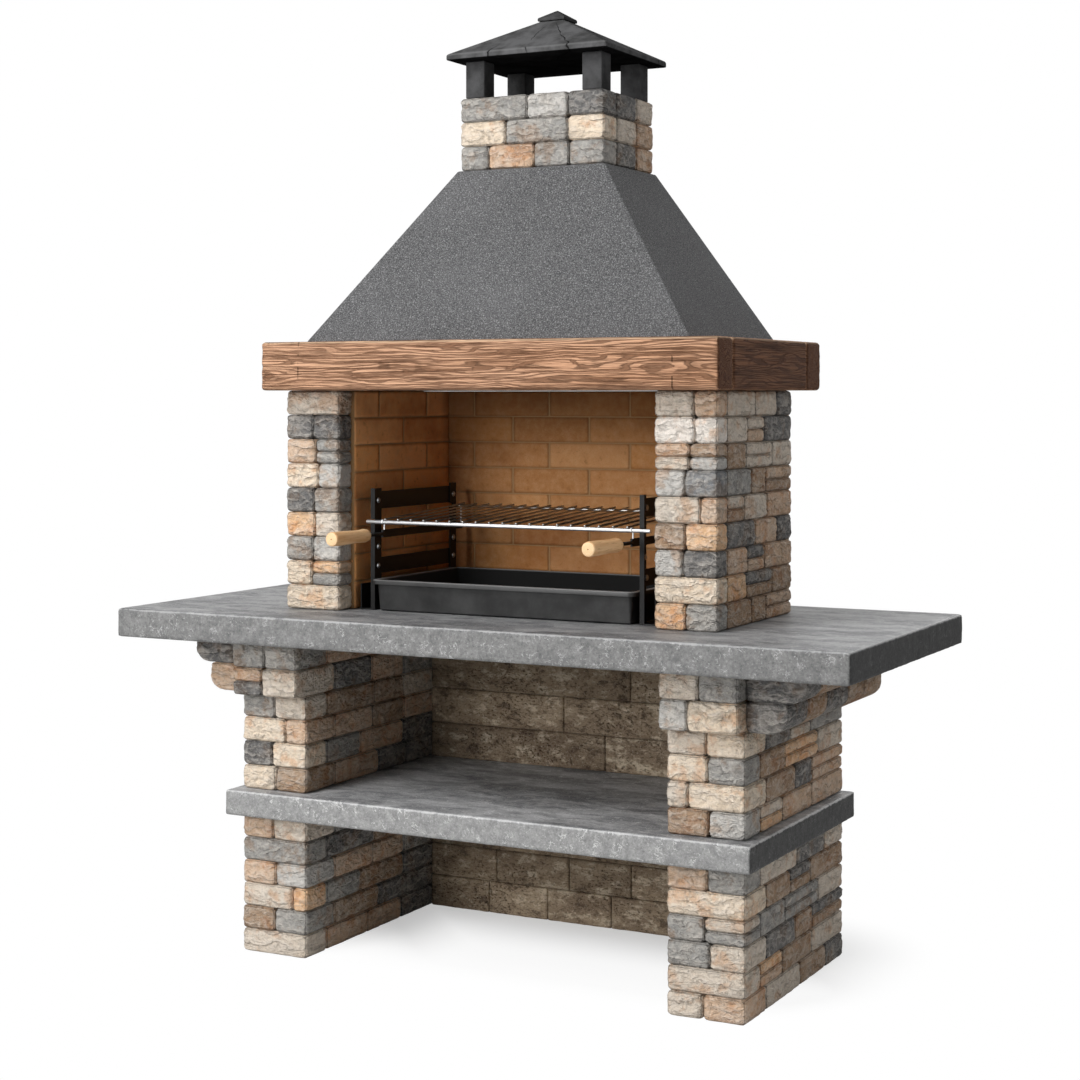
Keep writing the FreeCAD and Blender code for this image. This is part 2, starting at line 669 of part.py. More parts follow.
def base_angle(side):
    """The angle that spreads a side of the rack on the worktop and shields the foot of the lining."""
    name = f"{side}_base_angle"
    y = ("-rack_front", "rack_back")
    outer = "web_inner + base_foot"
    foot = block(name + "_foot", on_side(side, "web_inner", outer), y,
                 (TRAY_FOOT, f"{TRAY_FOOT} + base_thick"))
    plate = block(name + "_plate", on_side(side, f"{outer} - base_thick", outer), y,
                  (TRAY_FOOT, f"{TRAY_FOOT} + base_plate"))
    return node(fuse(name + "_bent", foot, plate), name)


def bolt_and_nut(side, end, level):
    """A bolt with its head inside the web, and the nut outside what it clamps."""
    name = f"{side}_{end}_{level}_bolt"
    y, z = bolt_y(end), f"worktop_top + {level}"
    nut_foot = f"({WEB_OUTER if level == 'spare_bolt_height' else RAIL_OUTER} + bed_gap)"
    nut_end = f"({nut_foot} + nut_height)"
    head_foot = "(web_inner - bed_gap)"

    def along(label, sides, radius, near, far):
        low, high = on_side(side, near, far)
        return prism(f"{name}_{label}", "x", sides, radius, (low, y, z), f"({high}) - ({low})")

    shank = along("shank", SMALL_SIDES, "bolt_radius", head_foot, nut_end)
    head = along("head", SMALL_SIDES, "bolt_head_radius", f"{head_foot} - bolt_head_height", head_foot)
    nut = along("nut_blank", 6, "nut_radius", nut_foot, nut_end)
    bore = along("nut_bore", SMALL_SIDES, HOLE_RADIUS, f"{nut_foot} - nut_height", f"{nut_end} + nut_height")
    return fuse(name, shank, head), cut(name + "_nut", nut, bore)


bolts, nuts = [], []
for side in SIDES:
    for end in ("front", "rear"):
        upright(side, end)
        for level in BOLT_LEVELS:
            bolt, nut = bolt_and_nut(side, end, level)
            bolts.append(bolt)
            nuts.append(nut)
    for level in ("upper", "lower"):
        rail(side, level)
    base_angle(side)
node(gather("bolts_in_place", bolts), "rack_bolts")
node(gather("nuts_in_place", nuts), "rack_nuts")

# Cooking grate: bars on two rods that lie in the notches, hooked to the handle arms below

front_half = f"({WEB_OUTER} + front_rod_past)"
rear_half = f"({WEB_OUTER} - bed_gap)"
node(rod("front_rod", "x", "front_rod_radius", (f"-{front_half}", FRONT_ROD_Y, FRONT_ROD_Z),
         f"2 * {front_half}"), "grate_front_rod")
node(rod("rear_rod", "x", "rear_rod_radius", (f"-{rear_half}", REAR_ROD_Y, REAR_ROD_Z), f"2 * {rear_half}"),
     "grate_rear_rod")

bar_front = (FRONT_ROD_Y, f"({FRONT_ROD_Z} + front_rod_radius + bar_radius + bed_gap)")
bar_rear = (REAR_ROD_Y, f"({REAR_ROD_Z} + rear_rod_radius + bar_radius + bed_gap)")
bar_run = f"({bar_rear[0]} - {bar_front[0]})"
bar_rise = f"({bar_rear[1]} - {bar_front[1]})"
bar_slope = f"atan({bar_rise} / {bar_run})"
bars = []
for number in range(BAR_COUNT):
    bar_start = (f"({number} - {BAR_COUNT - 1} / 2) * bar_pitch",
                 f"{bar_front[0]} - bar_overhang * cos({bar_slope})",
                 f"{bar_front[1]} - bar_overhang * sin({bar_slope})")
    bar = prism(f"bar_{number}", "y", SMALL_SIDES, "bar_radius", bar_start,
                f"{bar_run} / cos({bar_slope}) + 2 * bar_overhang")
    bind(bar, Placement__Rotation__Angle=f"{bar_slope} / 1 deg - 90")
    bars.append(bar)
node(gather("bars_laid", bars), "grate_bars")

arm_x = ("arm_side", "arm_side + arm_thick")
arm_centre = "(arm_side + arm_thick / 2)"
arm_front = f"({FRONT_ROD_Y} - front_rod_radius)"
grip_rear = "(grip_length - grip_front)"


def handle_arm(side):
    """A flat bar under the grate whose round tang runs forward into the grip."""
    name = f"{side}_handle_arm"
    bar = block(name + "_bar", on_side(side, *arm_x), (arm_front, f"{REAR_ROD_Y} + arm_past_rod"),
                (f"{ARM_MIDDLE} - arm_deep / 2", f"{ARM_MIDDLE} + arm_deep / 2"))
    tang_start = f"({grip_rear} - tang_in_grip)"
    centre = arm_centre if side == "right" else f"-{arm_centre}"
    tang = rod(name + "_tang", "y", "tang_radius", (centre, tang_start, ARM_MIDDLE),
               f"{arm_front} - {tang_start} + tang_radius")
    return node(fuse(name + "_forged", bar, tang), name)


def hook(name, side, y, z, rod_radius):
    """A strap hook: a leg up from the arm, bent over a rod of the grate and down to a short lip."""
    inside = f"({rod_radius} + bed_gap)"
    outside = f"({inside} + hook_thick)"
    x = on_side(side, *arm_x)
    foot = f"({ARM_MIDDLE} + arm_deep / 2 + bed_gap)"
    strap = block(name + "_strap", x, (f"{y} - {outside}", f"{y} + {outside}"), (foot, f"{z} + {outside}"))
    room_x = (f"{x[0]} - arm_thick", f"{x[1]} + arm_thick")
    room = block(name + "_room", room_x, (f"{y} - {inside}", f"{y} + {inside}"),
                 (f"{foot} - arm_thick", f"{z} + {inside}"))
    below_lip = block(name + "_below_lip", room_x, (f"{y} - 2 * {outside}", y), (f"{foot} - arm_thick", z))
    return cut(name, strap, fuse(name + "_hollow", room, below_lip))


hooks = []
for side in SIDES:
    handle_arm(side)
    hooks.append(hook(f"{side}_front_hook", side, FRONT_ROD_Y, FRONT_ROD_Z, "front_rod_radius"))
    hooks.append(hook(f"{side}_rear_hook", side, REAR_ROD_Y, REAR_ROD_Z, "rear_rod_radius"))
node(gather("hooks_in_place", hooks), "grate_hooks")


def grip(side):
    """A turned wooden grip: a long body, a neck and a rounded swell, bored for the tang."""
    name = f"{side}_grip"
    centre = arm_centre if side == "right" else f"-{arm_centre}"
    swell_y = f"({grip_rear} - grip_swell_length)"
    neck_y = f"({swell_y} - grip_neck_length)"

    def length(part, radius, y):
        start = (centre, y[0], ARM_MIDDLE)
        return prism(f"{name}_{part}", "y", GRIP_SIDES, radius, start, f"({y[1]}) - ({y[0]})")

    def eased(part, y, arris):
        ends = [(1, y[0]), (1, y[1])]
        return ease_edges(f"{name}_{part}_eased", length(part, "grip_radius", y), arris, ends)

    wood = fuse(name + "_turned", eased("body", ("-grip_front", neck_y), "grip_edge"),
                length("neck", "grip_neck", (neck_y, swell_y)),
                eased("swell", (swell_y, grip_rear), "grip_round"))
    bore = prism(name + "_bore", "y", GRIP_SIDES, "tang_radius + 2 * bed_gap",
                 (centre, f"{grip_rear} - tang_in_grip - bed_gap", ARM_MIDDLE), "2 * tang_in_grip")
    return node(cut(name + "_bored", wood, bore), name)


for side in SIDES:
    grip(side)

# Charcoal tray: a pressed steel pan with drafted walls and a folded rim


def tray_span(grow, drawn_in=""):
    """X and Y spans of the pan at its top, grown by a margin and drawn in by the draft."""
    margin = f"({grow}) {drawn_in}"
    return ((f"-tray_half - ({margin})", f"tray_half + ({margin})"),
            (f"-tray_front - ({margin})", f"tray_back + ({margin})"))


pan_outside = frustum("pan_outside", (TRAY_FOOT, TRAY_TOP), tray_span("-tray_draft"), tray_span("0"))
pan_inside = frustum("pan_inside", (f"{TRAY_FOOT} + tray_wall", f"{TRAY_TOP} + tray_wall"),
                     tray_span("-tray_draft - tray_wall"), tray_span("-tray_wall"))
rim = block("rim_outside", *tray_span("tray_rim"), (f"{TRAY_TOP} - tray_lip", TRAY_TOP))
under_rim = cut("under_rim", block("rim_inside", *tray_span("tray_rim - tray_wall"),
                                   (f"{TRAY_TOP} - 2 * tray_lip", f"{TRAY_TOP} - tray_wall")), pan_outside)
pan = cut("pan_opened", fuse("pan_with_rim", pan_outside, rim), pan_inside)
node(cut("pan_folded", pan, under_rim), "charcoal_tray")

# Check every object and write the sub-parts
doc.recompute()
for thing in doc.Objects:
    if "Invalid" in thing.State or "Error" in thing.State:
        raise RuntimeError(f"{thing.Label} failed: {thing.State}")
os.makedirs("parts", exist_ok=True)
for thing in nodes:
    shape = thing.Shape
    if shape.isNull() or not shape.isValid() or not shape.Solids:
        raise RuntimeError(f"{thing.Label} has no valid solid")
for thing in nodes:
    thing.Shape.exportStep(f"parts/{thing.Label}.step")
print(len(nodes), "sub-parts,", sum(len(thing.Shape.Solids) for thing in nodes), "solids")
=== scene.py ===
# %% [markdown]
# # A masonry barbecue, dressed for its portrait
# The imported model gives us every stone, beam and bar at its true size and place. This lesson keeps that
# frame and dresses it: each plain block becomes a split stone, a sawn timber or a slate slab. We start by
# loading the frame, because the dressed barbecue must fill the same space.

# %% Load the frame
import math
import random
from dataclasses import dataclass

import bmesh
import bpy
import numpy as np
from mathutils import Euler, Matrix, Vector


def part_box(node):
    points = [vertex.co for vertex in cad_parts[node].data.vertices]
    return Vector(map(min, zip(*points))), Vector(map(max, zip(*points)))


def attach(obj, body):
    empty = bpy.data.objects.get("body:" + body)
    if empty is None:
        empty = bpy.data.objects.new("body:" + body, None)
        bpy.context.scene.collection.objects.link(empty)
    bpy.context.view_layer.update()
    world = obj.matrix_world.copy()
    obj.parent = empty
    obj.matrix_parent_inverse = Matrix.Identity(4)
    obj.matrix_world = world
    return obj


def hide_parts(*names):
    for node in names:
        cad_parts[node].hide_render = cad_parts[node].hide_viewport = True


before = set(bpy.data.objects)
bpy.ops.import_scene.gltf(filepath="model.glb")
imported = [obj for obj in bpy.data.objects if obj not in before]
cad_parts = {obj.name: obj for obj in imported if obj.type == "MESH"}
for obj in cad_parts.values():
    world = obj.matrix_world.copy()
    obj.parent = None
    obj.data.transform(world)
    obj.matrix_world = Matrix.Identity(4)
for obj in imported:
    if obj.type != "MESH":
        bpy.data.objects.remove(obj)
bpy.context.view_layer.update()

# %% [markdown]
# ## Writing nodes as sums
# Blender's materials and Geometry Nodes are both trees of nodes. Placing and linking nodes one by one is
# slow to read, so a small class wraps a socket: a sum written in Python adds its Math nodes by itself, and
# one method makes any other node from its type, its settings and the values or links of its sockets.

# %% The socket class
class Wire:
    """A socket in a node tree. Sums on it add Math nodes, and node() adds any other node."""

    def __init__(self, tree, socket=None):
        self.tree = tree
        self.socket = socket

    def node(self, kind, settings=None, out=0, **sockets):
        """Add a node. Underscores in a socket's name stand for spaces, and no_3 is the socket number 3."""
        made = self.tree.nodes.new(kind)
        for name, value in (settings or {}).items():
            setattr(made, name, value)
        for name, value in sockets.items():
            key = int(name[3:]) if name.startswith("no_") else name.replace("_", " ")
            if isinstance(value, Wire):
                self.tree.links.new(value.socket, made.inputs[key])
            else:
                made.inputs[key].default_value = value
        return Wire(self.tree, made.outputs[out] if made.outputs else None)

    def out(self, name):
        """Another output of the same node."""
        return Wire(self.tree, self.socket.node.outputs[name])

    def split(self):
        """The parts of a vector: X itself, with out("Y") and out("Z") beside it."""
        return self.node("ShaderNodeSeparateXYZ", Vector=self)

    def math(self, operation, other=0.0, other_first=False):
        first, second = (other, self) if other_first else (self, other)
        return self.node("ShaderNodeMath", {"operation": operation}, no_0=first, no_1=second)

    def vector(self, operation, other=(0.0, 0.0, 0.0), out=0):
        """Vector Math with another vector."""
        return self.node("ShaderNodeVectorMath", {"operation": operation}, out=out, no_0=self, no_1=other)

    def __add__(self, other):
        return self.math("ADD", other)

    def __sub__(self, other):
        return self.math("SUBTRACT", other)

    def __rsub__(self, other):
        return self.math("SUBTRACT", other, other_first=True)

    def __mul__(self, other):
        return self.math("MULTIPLY", other)

    def __truediv__(self, other):
        return self.math("DIVIDE", other)

    __radd__ = __add__
    __rmul__ = __mul__


print("One class writes the nodes of every tree below")


# %% Masks and colours
def rise(value, low, high):
    """0 up to low, 1 from high on, and smooth between them; with low above high it falls instead."""
    settings = {"interpolation_type": "SMOOTHSTEP"}
    return value.node("ShaderNodeMapRange", settings, Value=value, From_Min=low, From_Max=high)


def cloud(coords, scale, detail=3.0, roughness=0.55):
    """A noise value from 0 to 1, its grains about 1 / scale metres wide."""
    return coords.node("ShaderNodeTexNoise", Vector=coords, Scale=scale, Detail=detail, Roughness=roughness)


def tint(code):
    """A colour as painters write it, six hex digits, turned into Blender's linear values."""
    shares = [int(code[start:start + 2], 16) / 255 for start in (0, 2, 4)]
    return tuple(s / 12.92 if s <= 0.04045 else ((s + 0.055) / 1.055) ** 2.4 for s in shares) + (1.0,)


def blend(share, first, second, mode="MIX"):
    """Two colours mixed by a share that changes over the surface."""
    settings = {"data_type": "RGBA", "blend_type": mode}
    return share.node("ShaderNodeMix", settings, out=2, no_0=share, no_6=first, no_7=second)


def layered(colour, *coats):
    """Lay coats over a colour. Each has a mask, its strength, its tint and, if it only darkens, MULTIPLY."""
    for mask, strength, code, *mode in coats:
        colour = blend(mask * strength, colour, tint(code), *mode)
    return colour


print("A mid grey is", [round(share, 3) for share in tint("808080")])

# %% [markdown]
# ## The camera
# The picture was taken a little above worktop height, from the right, with every upright edge upright. So the
# camera looks level and its lens is shifted down, as an architect's camera is. Turn, place and lens come
# from fitting the barbecue's long edges to the picture.

# %% Camera
CAMERA_PLACE = (2.3499, -4.4822, 1.3965)
CAMERA_TURN = 27.507
LENS_MM = 67.73
LENS_SHIFT = -0.1338


def placed(name, data):
    """A new object at the origin of the scene."""
    made = bpy.data.objects.new(name, data)
    bpy.context.collection.objects.link(made)
    return made


camera = placed("portrait_camera", bpy.data.cameras.new("portrait_camera"))
camera.location = CAMERA_PLACE
camera.rotation_euler = (math.radians(90), 0, math.radians(CAMERA_TURN))
camera.data.sensor_width = 36
camera.data.lens = LENS_MM
camera.data.shift_y = LENS_SHIFT
bpy.context.scene.camera = camera
bpy.context.scene.view_settings.view_transform = "Standard"
print("Camera", CAMERA_TURN, "degrees round to the right")

# %% [markdown]
# ## Light and floor
# The barbecue stands in a white studio. Two large soft lamps from the front left make the fronts bright and
# leave the right-hand sides in a calm shade, which weaker lamps at the side and behind and the white room
# lighten. The floor is shaded close to the walls, lighter in the open bay between the legs, and fades to
# plain white further out, so no horizon shows.

# %% White room
ROOM_LEVEL = 0.2
WHITE = (1, 1, 1, 1)


def shown_straight(wire):
    """1 for what the camera sees, also in metal and through glass, and 0 for light that falls on things."""
    path = wire.node("ShaderNodeLightPath", out="Is Camera Ray")
    return (path + path.out("Is Glossy Ray") + path.out("Is Transmission Ray")).math("MINIMUM", 1.0)


world = bpy.data.worlds.new("white_room")
world.use_nodes = True
world.node_tree.nodes.clear()
sky = Wire(world.node_tree)
sky_level = ROOM_LEVEL + (1 - ROOM_LEVEL) * shown_straight(sky)
sky.node("ShaderNodeOutputWorld", Surface=sky.node("ShaderNodeBackground", Color=WHITE, Strength=sky_level))
bpy.context.scene.world = world
print("The room lights the barbecue at", ROOM_LEVEL)

# %% Floor
FLOOR_REACH = 30
FLOOR_GREY = (0.7, 0.7, 0.7, 1)
SHADE_MIDDLE = (0.0, 0.24, 0.0)
SHADE_HALF = (0.5, 0.1, 0.0)
SHADE_FADE = 0.42
LIT_SHARE = 0.4
LIT_STRENGTH = 1.17
OPEN_SHARE = 0.8
OPEN_REACH = 0.32
INNER_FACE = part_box("right_leg_lower_stones")[0].x
PANEL_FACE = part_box("lower_back_panel")[0].y


def new_finish(name):
    """An empty material, a wire to write it with, and the place of each point of the piece."""
    material = bpy.data.materials.new(name)
    material.use_nodes = True
    material.node_tree.nodes.clear()
    wire = Wire(material.node_tree)
    return material, wire, wire.node("ShaderNodeTexCoord", out="Object")


def floor_finish():
    """Matt grey that takes the shade near the walls and turns into plain white away from them."""
    material, wire, place = new_finish("studio_floor")
    outside = place.vector("SUBTRACT", SHADE_MIDDLE).vector("ABSOLUTE").vector("SUBTRACT", SHADE_HALF)
    far = rise(outside.vector("MAXIMUM").vector("LENGTH", out="Value"), 0.0, SHADE_FADE)
    parts = place.split()
    off_walls = (parts + INNER_FACE).math("MINIMUM", PANEL_FACE - parts.out("Y"))
    away = far.math("MAXIMUM", OPEN_SHARE * rise(off_walls, 0.0, OPEN_REACH))
    matt = wire.node("ShaderNodeBsdfDiffuse", Color=FLOOR_GREY)
    strength = LIT_STRENGTH + (1 - LIT_STRENGTH) * away
    plain = wire.node("ShaderNodeEmission", Color=WHITE, Strength=strength)
    share = (LIT_SHARE + (1 - LIT_SHARE) * away) * shown_straight(wire)
    mixed = wire.node("ShaderNodeMixShader", no_0=share, no_1=matt, no_2=plain)
    wire.node("ShaderNodeOutputMaterial", Surface=mixed)
    return material


floor_mesh = bpy.data.meshes.new("studio_floor")
floor_corners = [(x * FLOOR_REACH, y * FLOOR_REACH, 0) for x, y in ((-1, -1), (1, -1), (1, 1), (-1, 1))]
floor_mesh.from_pydata(floor_corners, [], [(0, 1, 2, 3)])
floor_mesh.materials.append(floor_finish())
placed("studio_floor", floor_mesh)
print("Floor of", 2 * FLOOR_REACH, "m")

# %% Lamps
AIM = Vector((0, 0, 1.15))


def soft_lamp(name, left, above, distance, size, power):
    """A round lamp so many degrees left of the front and above the floor, aimed at the hearth."""
    turn = Euler((math.radians(90 - above), 0, math.radians(-left)))
    lamp = bpy.data.lights.new(name, "AREA")
    lamp.shape = "DISK"
    lamp.size = size
    lamp.energy = power
    stand = placed(name, lamp)
    stand.rotation_euler = turn
    stand.location = AIM + turn.to_matrix() @ Vector((0, 0, distance))
    print(name, "at", [round(value, 2) for value in stand.location])


soft_lamp("key_lamp", left=22, above=42, distance=6, size=2.4, power=228)
soft_lamp("front_lamp", left=16, above=13, distance=7, size=3.0, power=262)
soft_lamp("side_lamp", left=-75, above=24, distance=6, size=3.0, power=42)
soft_lamp("rear_lamp", left=-168, above=24, distance=6, size=3.0, power=80)

# %% [markdown]
# ## Reading the blocks
# Each stone and brick of the frame is a separate solid inside its wall's node. A copy of the node's mesh is
# merged, and walking from corner to corner finds each solid. Its lowest and highest corner are all we need
# to build a finer block in the same place.

# %% Blocks of a wall
@dataclass
class Block:
    """A block to be dressed: its corners, its colour, and how far its lower outer edge is rounded away."""
    low: Vector
    high: Vector
    tone: tuple = (0.5, 0.5, 0.5, 1.0)
    side: float = 1.0
    undercut: float = 0.0


def blocks_of(node):
    """The solids of a node as blocks."""
    merged = bmesh.new()
    merged.from_mesh(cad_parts[node].data)
    bmesh.ops.remove_doubles(merged, verts=merged.verts, dist=1e-5)
    seen = set()
    found = []
    for first in merged.verts:
        if first in seen:
            continue
        seen.add(first)
        reached = [first]
        for corner in reached:
            near = [edge.other_vert(corner) for edge in corner.link_edges]
            fresh = [other for other in near if other not in seen]
            seen.update(fresh)
            reached.extend(fresh)
        corners = np.array([corner.co for corner in reached])
        found.append(Block(Vector(corners.min(0)), Vector(corners.max(0))))
    merged.free()
    return found


print(len(blocks_of("right_pillar_stones")), "stones in the right pillar")

# %% [markdown]
# ## Weathering a block
# Stones, bricks, slabs and timbers are all blocks whose edges are worn round and whose faces are uneven, so
# one Geometry Nodes tree does them all. It starts from boxes made of coarse squares, cuts the squares
# finer, pulls the edges round, and pushes the faces in and out by noise. Every block carries its own middle,
# half size, colour and chance numbers, so no two come out alike.

# %% Coarse boxes
def coarse_box(block, cell):
    """Corner points and square faces of a box cut into cells of about the given size."""
    counts = [max(1, round((high - low) / cell)) for low, high in zip(block.low, block.high)]
    points, faces, numbers = [], [], {}

    def corner(key):
        if key not in numbers:
            numbers[key] = len(points)
            shares = [step / count for step, count in zip(key, counts)]
            points.append([low + (high - low) * share
                           for low, high, share in zip(block.low, block.high, shares)])
        return numbers[key]

    for axis in range(3):
        across, along = (axis + 1) % 3, (axis + 2) % 3
        for end in (0, counts[axis]):
            for row in range(counts[across]):
                for column in range(counts[along]):
                    ring = []
                    for step_across, step_along in ((0, 0), (1, 0), (1, 1), (0, 1)):
                        key = [0, 0, 0]
                        key[axis] = end
                        key[across] = row + step_across
                        key[along] = column + step_along
                        ring.append(corner(tuple(key)))
                    faces.append(ring if end else ring[::-1])
    return points, faces


sample_block = Block(Vector((0, 0, 0)), Vector((0.1, 0.1, 0.1)))
print("A 100 mm block has", len(coarse_box(sample_block, 0.025)[1]), "squares of 25 mm")

# %% Facts on every corner
FACTS = {"middle": "FLOAT_VECTOR", "half": "FLOAT_VECTOR", "chance": "FLOAT_VECTOR", "cut": "FLOAT_VECTOR",
         "tone": "FLOAT_COLOR"}
CHANCE_REACH = 50


def coarse_wall(name, blocks, cell, luck):
    """One mesh of coarse boxes in which every corner knows the facts of its own block."""
    points, faces = [], []
    facts = {fact: [] for fact in FACTS}
    for block in blocks:
        own_points, own_faces = coarse_box(block, cell)
        start = len(points)
        points += own_points
        faces += [[start + number for number in face] for face in own_faces]
        own = {"middle": (block.low + block.high) / 2, "half": (block.high - block.low) / 2,
               "chance": [luck.uniform(0, CHANCE_REACH) for _ in range(3)],
               "cut": (block.side, block.undercut, 0), "tone": block.tone}
        for fact, value in own.items():
            facts[fact] += [tuple(value)] * len(own_points)
    mesh = bpy.data.meshes.new(name)
    mesh.from_pydata(points, [], faces)
    for fact, kind in FACTS.items():
        values = np.array(facts[fact], dtype=np.float32).ravel()
        field = "color" if kind == "FLOAT_COLOR" else "vector"
        mesh.attributes.new(fact, kind, "POINT").data.foreach_set(field, values)
    return mesh


print("Corners know their block's", ", ".join(FACTS))

# %% Split faces and undercuts
LARGE_LEDGES = 1.5
SMALL_LEDGES = 2.6
LEAST_REACH = 0.00001


def ledges(bent, spacing, offset, brink):
    """Wavy ledges that jut out over what lies below: their height, the way up to the next, and a mask."""
    moved = bent.vector("ADD", offset)
    climb = spacing * (moved.split().out("Z") + 1.6 * cloud(moved, 1.1, 2.0))
    step = climb.math("FRACT")
    broken = rise(cloud(moved, 0.6 * spacing, 2.0), 0.42, 0.56)
    return rise(step, 0.0, brink) * (1 - step) * broken, step, broken


def split_face(pattern, brink):
    """Height of a split face with large and small ledges and facets, and masks of painted shade at the foot of
    its ledges and of painted highlight on their tops.
    """
    bent = pattern.vector("ADD", cloud(pattern, 1.5, 3.0).out("Color").vector("MULTIPLY", (0.8, 0.8, 0.8)))
    ragged = bent.vector("ADD", cloud(bent, 2.6, 2.0).out("Color"))
    large, step, broken = ledges(bent, LARGE_LEDGES, (5, 9, 2), brink)
    small, small_step, small_broken = ledges(ragged, SMALL_LEDGES, (2, 4, 7), 1.6 * brink)
    facets = bent.node("ShaderNodeTexVoronoi", {"feature": "F1"}, Vector=bent, Scale=4.2)
    height = 0.8 * large + 0.7 * small + 0.9 * (facets - 0.4) + 0.9 * (cloud(bent, 4.0, 4.0, 0.62) - 0.5)
    # painted shade at the foot of each ledge
    foot = rise(step, 0.74, 0.97) * broken
    foot = foot + 0.45 * rise(small_step, 0.74, 0.97) * small_broken
    # painted highlight along the top of each ledge
    ridge_highlight = rise(step, 0.02, 0.09) * rise(step, 0.35, 0.1) * broken
    ridge_highlight = ridge_highlight + 0.7 * rise(small_step, 0.02, 0.12) * rise(small_step, 0.4, 0.14) * small_broken
    return height, foot.math("MINIMUM", 1.0), ridge_highlight.math("MINIMUM", 1.0), facets


def undercut_pull(wire, worn, half, cut):
    """How a block's points move where it is rounded off below at its outer end."""
    worn_at, half_at, cut_at = worn.split(), half.split(), cut.split()
    swell = cut_at.out("Y")
    past = (worn_at * cut_at - half_at + swell).math("MAXIMUM", 0.0)
    below = (swell - worn_at.out("Z") - half_at.out("Z")).math("MAXIMUM", 0.0)
    reach = (past * past + below * below).math("SQRT")
    trimmed = 1 - (swell / reach.math("MAXIMUM", LEAST_REACH)).math("MINIMUM", 1.0)
    both = past.math("GREATER_THAN", 0.0) * below.math("GREATER_THAN", 0.0) * trimmed
    return wire.node("ShaderNodeCombineXYZ", X=past * both * cut_at * -1, Z=below * both)


print("A unit of the pattern holds", LARGE_LEDGES, "large or", SMALL_LEDGES, "small ledges")

# %% The weathering tree
LEAST_CORE = (0.0005, 0.0005, 0.0005)
CORNER_DROP = 0.293


def new_tree(name, output, **inputs):
    """An empty Geometry Nodes tree, and a wire on its inputs, which are named with their kinds."""
    tree = bpy.data.node_groups.new(name, "GeometryNodeTree")
    tree.is_modifier = True
    for label, kind in inputs.items():
        tree.interface.new_socket(label.replace("_", " "), in_out="INPUT", socket_type="NodeSocket" + kind)
    tree.interface.new_socket(output, in_out="OUTPUT", socket_type="NodeSocketGeometry")
    return tree, Wire(tree).node("NodeGroupInput")


def own_fact(wire, name):
    """A vector that the mesh carries at its points."""
    return wire.node("GeometryNodeInputNamedAttribute", {"data_type": "FLOAT_VECTOR"}, Name=name)


def weathering_tree():
    """Blocks in, worn blocks out, with their sizes as named inputs."""
    tree, wire = new_tree("weathered_blocks", "Worn", Blocks="Geometry", Level="Int", Round="Float",
                          Relief="Float", Ledge="Float", Flat_Beds="Float", Pattern="Vector",
                          Finish="Material")

    def alike(value):
        return wire.node("ShaderNodeCombineXYZ", X=value, Y=value, Z=value)

    shape = wire.node("GeometryNodeSubdivideMesh", Mesh=wire.out("Blocks"), Level=wire.out("Level"))
    place = wire.node("GeometryNodeInputPosition")
    middle, half, chance, cut = [own_fact(wire, name) for name in ("middle", "half", "chance", "cut")]
    local = place.vector("SUBTRACT", middle)
    pattern = place.vector("MULTIPLY", wire.out("Pattern")).vector("ADD", chance)

    # the edge's radius changes along it, and what lies outside the core is pulled onto that radius
    radius = wire.out("Round") * (0.55 + 0.9 * cloud(pattern, 2.3, 1.0))
    core_half = half.vector("SUBTRACT", alike(radius)).vector("MAXIMUM", LEAST_CORE)
    core = local.vector("MINIMUM", core_half).vector("MAXIMUM", core_half.vector("MULTIPLY", (-1, -1, -1)))
    outward = local.vector("SUBTRACT", core).vector("NORMALIZE")
    flat = outward.vector("ABSOLUTE").split()

    # relief: the ledges of a split face, or plain swells and chips
    chiselled = split_face(pattern, 0.35)[0]
    plain = 1.3 * (cloud(pattern, 1.0, 2.0) - 0.5) + 0.9 * (cloud(pattern, 4.5, 3.0) - 0.5)
    relief = plain + wire.out("Ledge") * (chiselled - plain)
    upright = 1 - wire.out("Flat Beds") * flat.out("Z")
    lift = radius + wire.out("Relief") * (relief - 0.3) * upright
    worn = core.vector("ADD", outward.vector("MULTIPLY", alike(lift)))
    final = middle.vector("ADD", worn.vector("ADD", undercut_pull(wire, worn, half, cut)))

    # the finishes read where the edges are, which faces look up or to an end, and the pattern's place
    most = flat.math("MAXIMUM", flat.out("Y")).math("MAXIMUM", flat.out("Z"))
    notes = (("edge", "FLOAT", (1 - most) / CORNER_DROP), ("upward", "FLOAT", outward.split().out("Z")),
             ("endward", "FLOAT", flat), ("grain", "FLOAT_VECTOR", pattern))
    for name, kind, value in notes:
        shape = wire.node("GeometryNodeStoreNamedAttribute", {"data_type": kind, "domain": "POINT"},
                          Geometry=shape, Name=name, Value=value)
    shape = wire.node("GeometryNodeSetPosition", Geometry=shape, Position=final)
    shape = wire.node("GeometryNodeSetShadeSmooth", Geometry=shape, Shade_Smooth=True)
    shape = wire.node("GeometryNodeRealizeInstances", Geometry=shape)
    shape = wire.node("GeometryNodeSetMaterial", Geometry=shape, Material=wire.out("Finish"))
    wire.node("NodeGroupOutput", Worn=shape)
    return tree


WEATHERING = weathering_tree()
print("The weathering tree has", len(WEATHERING.nodes), "nodes")

# %% [markdown]
# ## Split stone
# The walls are laid from cast stones with split faces in cream, tan, brown and several greys. The stones that
# show at the front have their colours chosen one by one, course by course from the bottom, and those along
# the flanks are drawn by chance from a sack of their own for the left walls, the right walls and the
# chimney. The left sack leans to darker stones as painted shade, the right sack to lighter ones as painted
# light, and the corbels' outer ends take dark stones as painted shade under the worktop. Painted shade
# darkens the foot of each ledge, dirt gathers in the joints, and the ridges carry a painted highlight.

